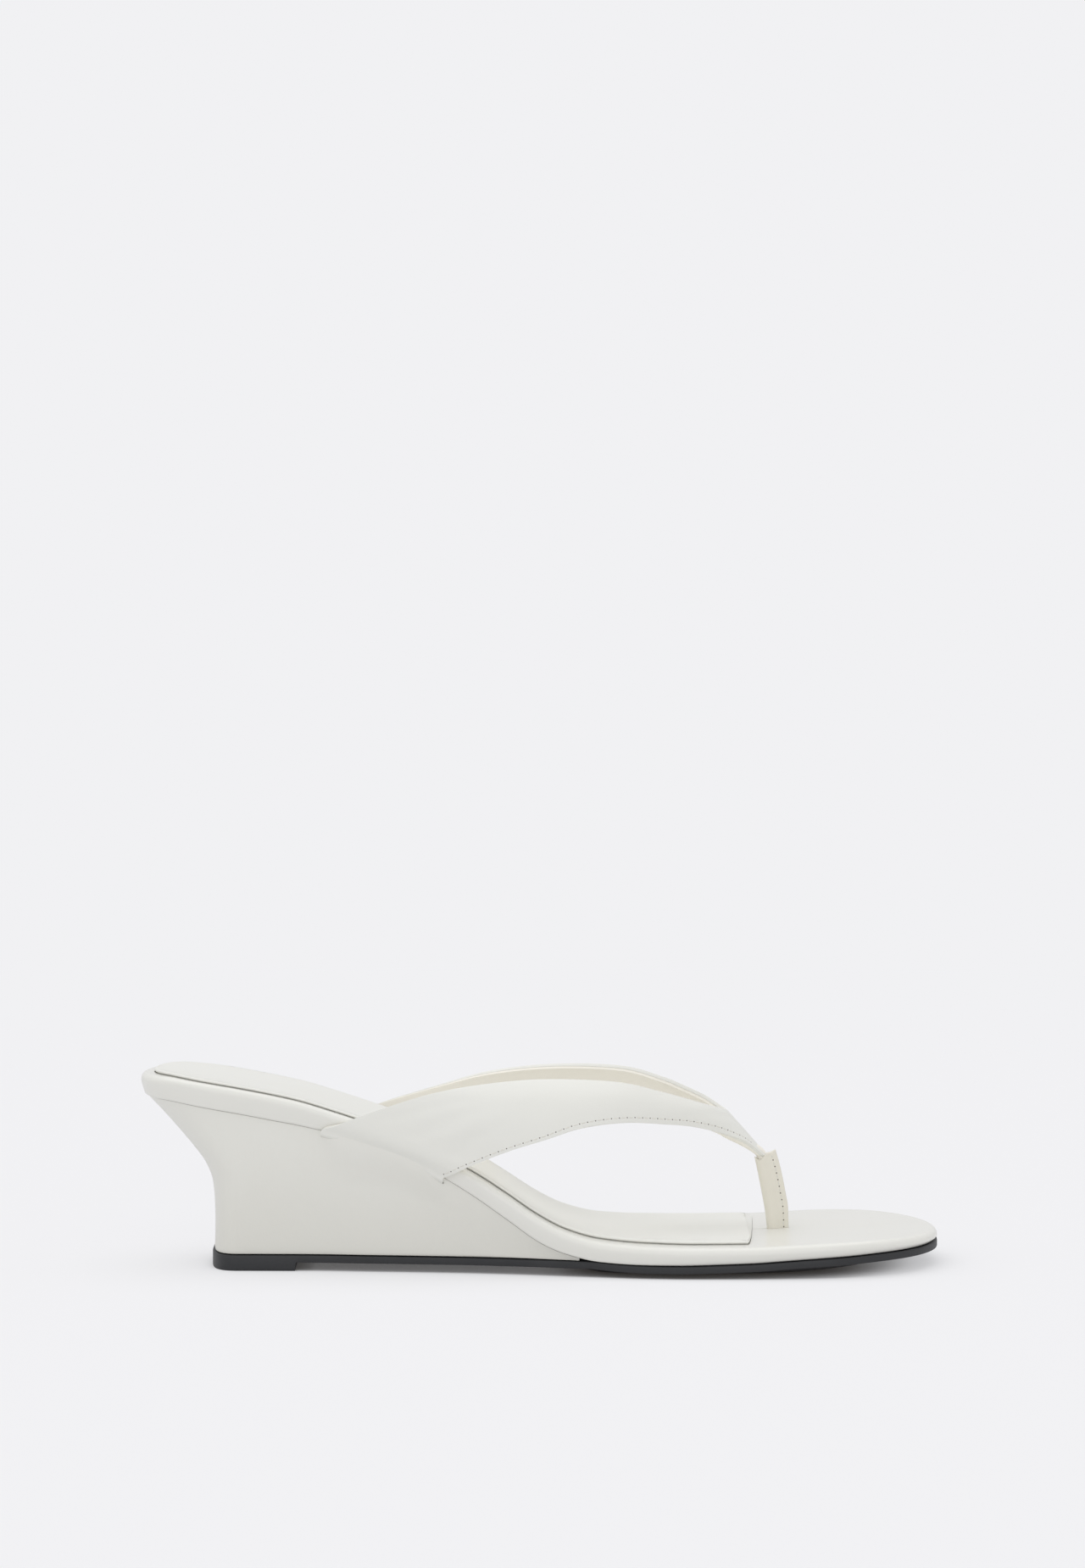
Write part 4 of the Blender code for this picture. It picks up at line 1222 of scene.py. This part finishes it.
def makeFootbed():
    loop = outline(stations(0.0, shoe["length"], footbed["heelCurve"], footbed["toeCurve"]), footbedHalf)
    back = footbed["heelCurve"]
    front = shoe["length"] - footbed["toeCurve"]
    roll = footbed["roll"]

    def under(s, y):
        return footbedBottom(s)

    def sideRing(share):
        ring = []
        for s, y in insetLoop(loop, footbed["lean"] * (1 - share) ** 1.5):
            low = footbedBottom(s)
            ring.append(at(s, y, low + (footbedTop(s, y) - roll - low) * share))
        return ring

    fold = 0.00035  # the wrap turns under in a small round
    turned = footbed["lean"] + fold
    rings = faceRings(loop, back, front, under, footbed["underSteps"], turned)
    rings.append(lifted(insetLoop(loop, turned), under))
    rings.append(lifted(insetLoop(loop, footbed["lean"] + fold * 0.3), lambda s, y: under(s, y) + fold * 0.3))
    rings += [sideRing(share) for share in footbed["sideShares"]]
    for turn in quarterTurn(footbed["rollSteps"])[1:]:
        drop = roll * (1 - math.sin(turn))
        rolled = insetLoop(loop, roll * (1 - math.cos(turn)))
        rings.append(lifted(rolled, lambda s, y: footbedTop(s, y) - drop))
    rings += reversed(faceRings(loop, back, front, footbedTop, footbed["faceSteps"], roll))
    thing = loft("footbedWrap", rings)
    cutAway(thing, (makeSockRecess(), makePostSlot(), makeSlit()))
    return thing


def makePostSlot():
    foot = sleeveRing(sleeveSection(post["slotGap"]), 0.0, grow=post["slotGap"])
    low = footbedBottom(post["place"]) - footbed["thickness"]
    high = footbedMiddle(post["place"]) + footbed["thickness"]
    return loft("postSlot", [[Vector((p.x, p.y, z)) for p in foot] for z in (low, high)], capped=True)


# The cut in the wrap from the front of the sock to the toe post
def makeSlit():
    half = footbed["slitWidth"] / 2
    deep = -footbed["slitDepth"]
    over = 0.001
    rings = []
    for s in (sock["front"] - sock["corner"], postEdges(0.0)[0] + shoe["gap"]):
        high = footbedMiddle(s)
        corners = ((-half, deep), (half, deep), (half, over), (-half, over))
        rings.append([at(s, post["side"] + y, high + z) for y, z in corners])
    return loft("slit", rings, capped=True)


# Wedge: its leather cover, with room for the strap tails in its top edge
wedge = {
    "topInset": 0.0008,
    "footInset": 0.0006,
    "tip": 0.0006,
    "blunt": 0.006,  # from its front to where its faces end in a line
    "rows": 30,
    "faceSteps": 5,
    "turnUnder": 0.0005,
    "seamGap": 0.00015,
    "lip": 0.00015,  # thickness of the cover where it laps the strap's base
    "lap": 0.00045,
    "swellFrom": 0.58,
    "swellOut": 0.003,
    "swellReach": 0.008,
    # the cover gets painted shade up to this height, darker towards the bottom
    "paintedShadeHeight": 0.044,
    "tailClear": 0.00004,
    "tailEnd": 0.00006,
    "tailRows": 24,
}
# How far its back and sides have gone from the foot to the seat, at shares of the height
wedgeCurves = tableCurves(("up", "back", "side"), (
    (0.00, 0.00, 0.00),
    (0.18, -0.01, 0.12),
    (0.33, 0.00, 0.24),
    (0.45, 0.03, 0.36),
    (0.57, 0.14, 0.49),
    (0.68, 0.33, 0.62),
    (0.79, 0.55, 0.76),
    (0.90, 0.78, 0.89),
    (1.00, 1.00, 1.00),
))


# Where the footbed comes so low that the wedge ends
def wedgeFront():
    need = outsole["padThickness"] + 2 * shoe["gap"] + wedge["tip"]
    low = outsole["waistEnd"] - outsole["padLength"] * 2
    high = outsole["waistEnd"] + outsole["padLength"]
    for _ in range(40):
        middle = (low + high) / 2
        if footbedBottom(middle) > need:
            low = middle
        else:
            high = middle
    return low


# Share of the swell at a place: full over a strap's base, none away from it
def overStrapBase(along, side):
    back, front = strap["base"][side]
    out = wedge["swellOut"]
    reach = wedge["swellReach"]
    return ease((along - back + out) / reach) * ease((front + out - along) / reach)


# Outside of the strap's base, from the cover's own turned edge
def strapBaseRadius():
    return shoe["gap"] + strap["wall"] / 2 + strap["baseWall"] / 2


# The strap's base and tail, which the wedge makes room for
def tailRoom(side):
    back, front = strap["base"][side]
    radius = strapBaseRadius() + wedge["tailClear"]
    tail = strap["tail"]
    reach = tail + shoe["gap"]
    end = wedge["tailEnd"]
    count = wedge["tailRows"]
    corners = [(-reach, -radius)]
    corners += [(radius * math.sin(turn), -radius * math.cos(turn)) for turn in quarterTurn(8)]
    corners += [(radius, tail), (-reach, tail)]
    rings = []
    for k in range(count + 1):
        s = back - end + (front - back + 2 * end) * k / count
        middle = footbedEdge(s, side) - side * footbed["lean"]
        low = footbedBottom(s)
        rings.append([at(s, middle + side * out, low + up) for out, up in corners])
    return loft("tailRoom", rings, capped=True)


def makeWedge():
    front = wedgeFront()
    blunt = front - wedge["blunt"]
    inset = footbed["lean"] + wedge["topInset"]
    footStart = outsole["back"] + wedge["footInset"]
    corner = outsole["corner"] - wedge["footInset"]
    footLevel = outsole["padThickness"] + shoe["gap"]

    def footHalf(s):
        full = fullHalf(s) * section("sole", s) - wedge["footInset"]
        return full * endRound(s - footStart, corner, outsole["squareness"])

    def seatHalf(s):
        back = endRound(s - inset, footbed["heelCurve"] - inset, footbed["heelSquareness"])
        return (fullHalf(s) - inset) * back

    def footHeight(s, y):
        return footLevel

    def seatHeight(s, y):
        return footbedBottom(s) - wedge["seamGap"]

    seatPlaces = stations(inset, front, footbed["heelCurve"] - inset, 0.0)
    count = shoe["endSteps"]
    footPlaces = [footStart + corner * (1 - math.cos(turn)) for turn in quarterTurn(count)]
    first = seatPlaces[count]
    for place in seatPlaces[count + 1:]:
        beyond = (front - footStart - corner) * (place - first) / (front - first)
        footPlaces.append(footStart + corner + beyond)
    foot = outline(footPlaces, footHalf, bluntFront=True)
    seat = outline(seatPlaces, seatHalf, bluntFront=True)
    turned = wedge["turnUnder"]
    padRound = outsole["back"] + outsole["corner"]
    rings = faceRings(foot, padRound, blunt, footHeight, wedge["faceSteps"], turned)
    rings.append(lifted(insetLoop(foot, turned), footHeight))
    rings.append(lifted(insetLoop(foot, turned * 0.3), lambda s, y: footLevel + turned * 0.3))
    for row in range(wedge["rows"] + 1):
        up = row / wedge["rows"]
        lift = max(up, 0.02)  # leaves room for the round below
        back = wedgeCurves["back"](up)
        side = wedgeCurves["side"](up)
        swell = ease((up - wedge["swellFrom"]) / (1 - wedge["swellFrom"]))
        out = (wedge["topInset"] + strapBaseRadius() + wedge["lip"]) * swell
        ring = []
        for (s0, y0), (s1, y1) in zip(foot, seat):
            edge = 1 if y1 > centreLine(s1) else -1
            over = overStrapBase(s1, edge)
            y = y0 + (y1 - y0) * side + edge * out * over
            top = seatHeight(s1, y1) + wedge["lap"] * over
            ring.append(at(s0 + (s1 - s0) * back, y, footLevel + (top - footLevel) * lift))
        rings.append(ring)
    rings += reversed(faceRings(seat, footbed["heelCurve"], blunt, seatHeight, wedge["faceSteps"], turned))
    thing = loft("wedgeCover", rings)
    cutAway(thing, (tailRoom(-1), tailRoom(1)))
    # Painted shade: the cover grows darker towards the bottom
    markPaintedShade(thing, lambda place: ease(1 - place.z / wedge["paintedShadeHeight"]))
    return thing


# The pieces
addPiece(makeOutsole(), blackRubber, ["outsole"])
addPiece(makeWedge(), wedgeLeather, ["wedge"])
addPiece(makeFootbed(), footbedLeather, ["footbed"])
sockPad = addPiece(makeSock(), sockLeather, ["insole_pad"])
print("sole and footbed ready")

addPiece(makeStrapLeather(), strapLeather, ["upper"])
addPiece(makeStrapLining(), liningLeather)
addPiece(makeNeckCore(), liningLeather)
addStitches("strap", strap, [stitchLine(-1), stitchLine(1)])
print("straps ready")

addPiece(makeSleeve(), postLeather, ["toe_post"])
addStitches("post", post, [postLine(-1), postLine(1)])
print("toe post ready")

# Floor, light and camera
studio = {
    "floor": (0.865, 0.863, 0.875),
    "glow": (0.879, 0.879, 0.896),
    "sky": (0.985, 0.985, 1.0),
    "world": 0.74,
    "bounce": 0.80,  # glow of the floor as the shoe sees it
    "shadowLoss": 0.55,  # share of the floor's shadow that the bright paper swallows
    "contact": (0.035, 0.030, 0.026),
    "contactReach": 0.0055,
    "contactTo": 0.70,
    "near": 0.45,
    "far": 0.95,
    "wide": 14.0,
    "flat": 3.5,  # from the middle to the sweep behind the shoe
    "sweep": 2.45,
    "sweepSteps": 24,
}
# Broad lamps as (name, strength, spread, tilt, turn), the angles in degrees
lamps = (
    ("overhead", 0.92, 75, -12, -10),
    ("frontFill", 0.36, 60, 70, -8),
)
view = {
    "place": (0.00084, -2.0, 0.274),
    "pitch": 3.73,
    "focalPixels": 7900,
    "imageHeight": 1849,
    "sensor": 36.0,
    "clip": (0.01, 100),
}


def makePaper():
    material = bpy.data.materials.new("stagePaper")
    material.use_nodes = True
    tree = material.node_tree
    tree.nodes.clear()
    place = addNode(tree, "TexCoord").outputs["Object"]
    away = addNode(tree, "VectorMath", {0: place}, operation="LENGTH").outputs["Value"]
    soft = {"interpolation_type": "SMOOTHSTEP"}
    mask = mapped(tree, away, studio["near"], studio["far"], studio["shadowLoss"], **soft)
    paper = addNode(tree, "BsdfDiffuse", {"Color": (*studio["floor"], 1)})
    # Right under the shoe the glow goes out, so that the shadow there stays deep and close
    covered = addNode(tree, "AmbientOcclusion", {"Distance": studio["contactReach"]}, samples=8)
    openness = mapped(tree, covered.outputs["AO"], 0.0, studio["contactTo"], **soft)
    seen = addNode(tree, "LightPath").outputs["Is Camera Ray"]
    glow = addNode(tree, "Emission", {
        "Color": mixed(tree, openness, (*studio["contact"], 1), (*studio["glow"], 1)),
        "Strength": mapped(tree, seen, 0.0, 1.0, studio["bounce"]),
    })
    mix = addNode(tree, "MixShader", {"Fac": mask, 1: paper.outputs["BSDF"], 2: glow.outputs["Emission"]})
    addNode(tree, "OutputMaterial", {"Surface": mix.outputs["Shader"]})
    return material


# The paper floor, which sweeps up behind the shoe
def makeStage():
    half = studio["wide"] / 2
    flat = studio["flat"]
    sweep = studio["sweep"]
    rows = [(-half, 0.0), (flat, 0.0)]
    for turn in quarterTurn(studio["sweepSteps"])[1:]:
        rows.append((flat + sweep * math.sin(turn), sweep * (1 - math.cos(turn))))
    rows.append((flat + sweep, half))
    builder = bmesh.new()
    strips = [[builder.verts.new((x, y, z)) for x in (-half, half)] for y, z in rows]
    for low, high in zip(strips, strips[1:]):
        builder.faces.new((low[0], low[1], high[1], high[0]))
    data = meshFrom(builder, "stage")
    data.shade_smooth()
    data.materials.append(makePaper())
    thing = newObject("stage", data)


def makeLight():
    world = bpy.data.worlds.new("softWorld")
    world.use_nodes = True
    background = world.node_tree.nodes["Background"]
    feed(world.node_tree, background, {"Color": (*studio["sky"], 1), "Strength": studio["world"]})
    bpy.context.scene.world = world
    for name, strength, spread, tilt, turn in lamps:
        data = bpy.data.lights.new(name, "SUN")
        data.energy = strength
        data.angle = math.radians(spread)
        newObject(name, data).rotation_euler = (math.radians(tilt), math.radians(turn), 0)


def makeCamera():
    data = bpy.data.cameras.new("camera")
    data.sensor_width = view["sensor"]
    data.lens = view["focalPixels"] / view["imageHeight"] * view["sensor"]
    data.clip_start, data.clip_end = view["clip"]
    camera = newObject("camera", data)
    camera.location = view["place"]
    camera.rotation_euler = (math.radians(90 - view["pitch"]), 0, 0)
    bpy.context.scene.camera = camera


makeStage()
makeLight()
makeCamera()
bpy.context.scene.view_settings.view_transform = "Standard"
print("studio ready")
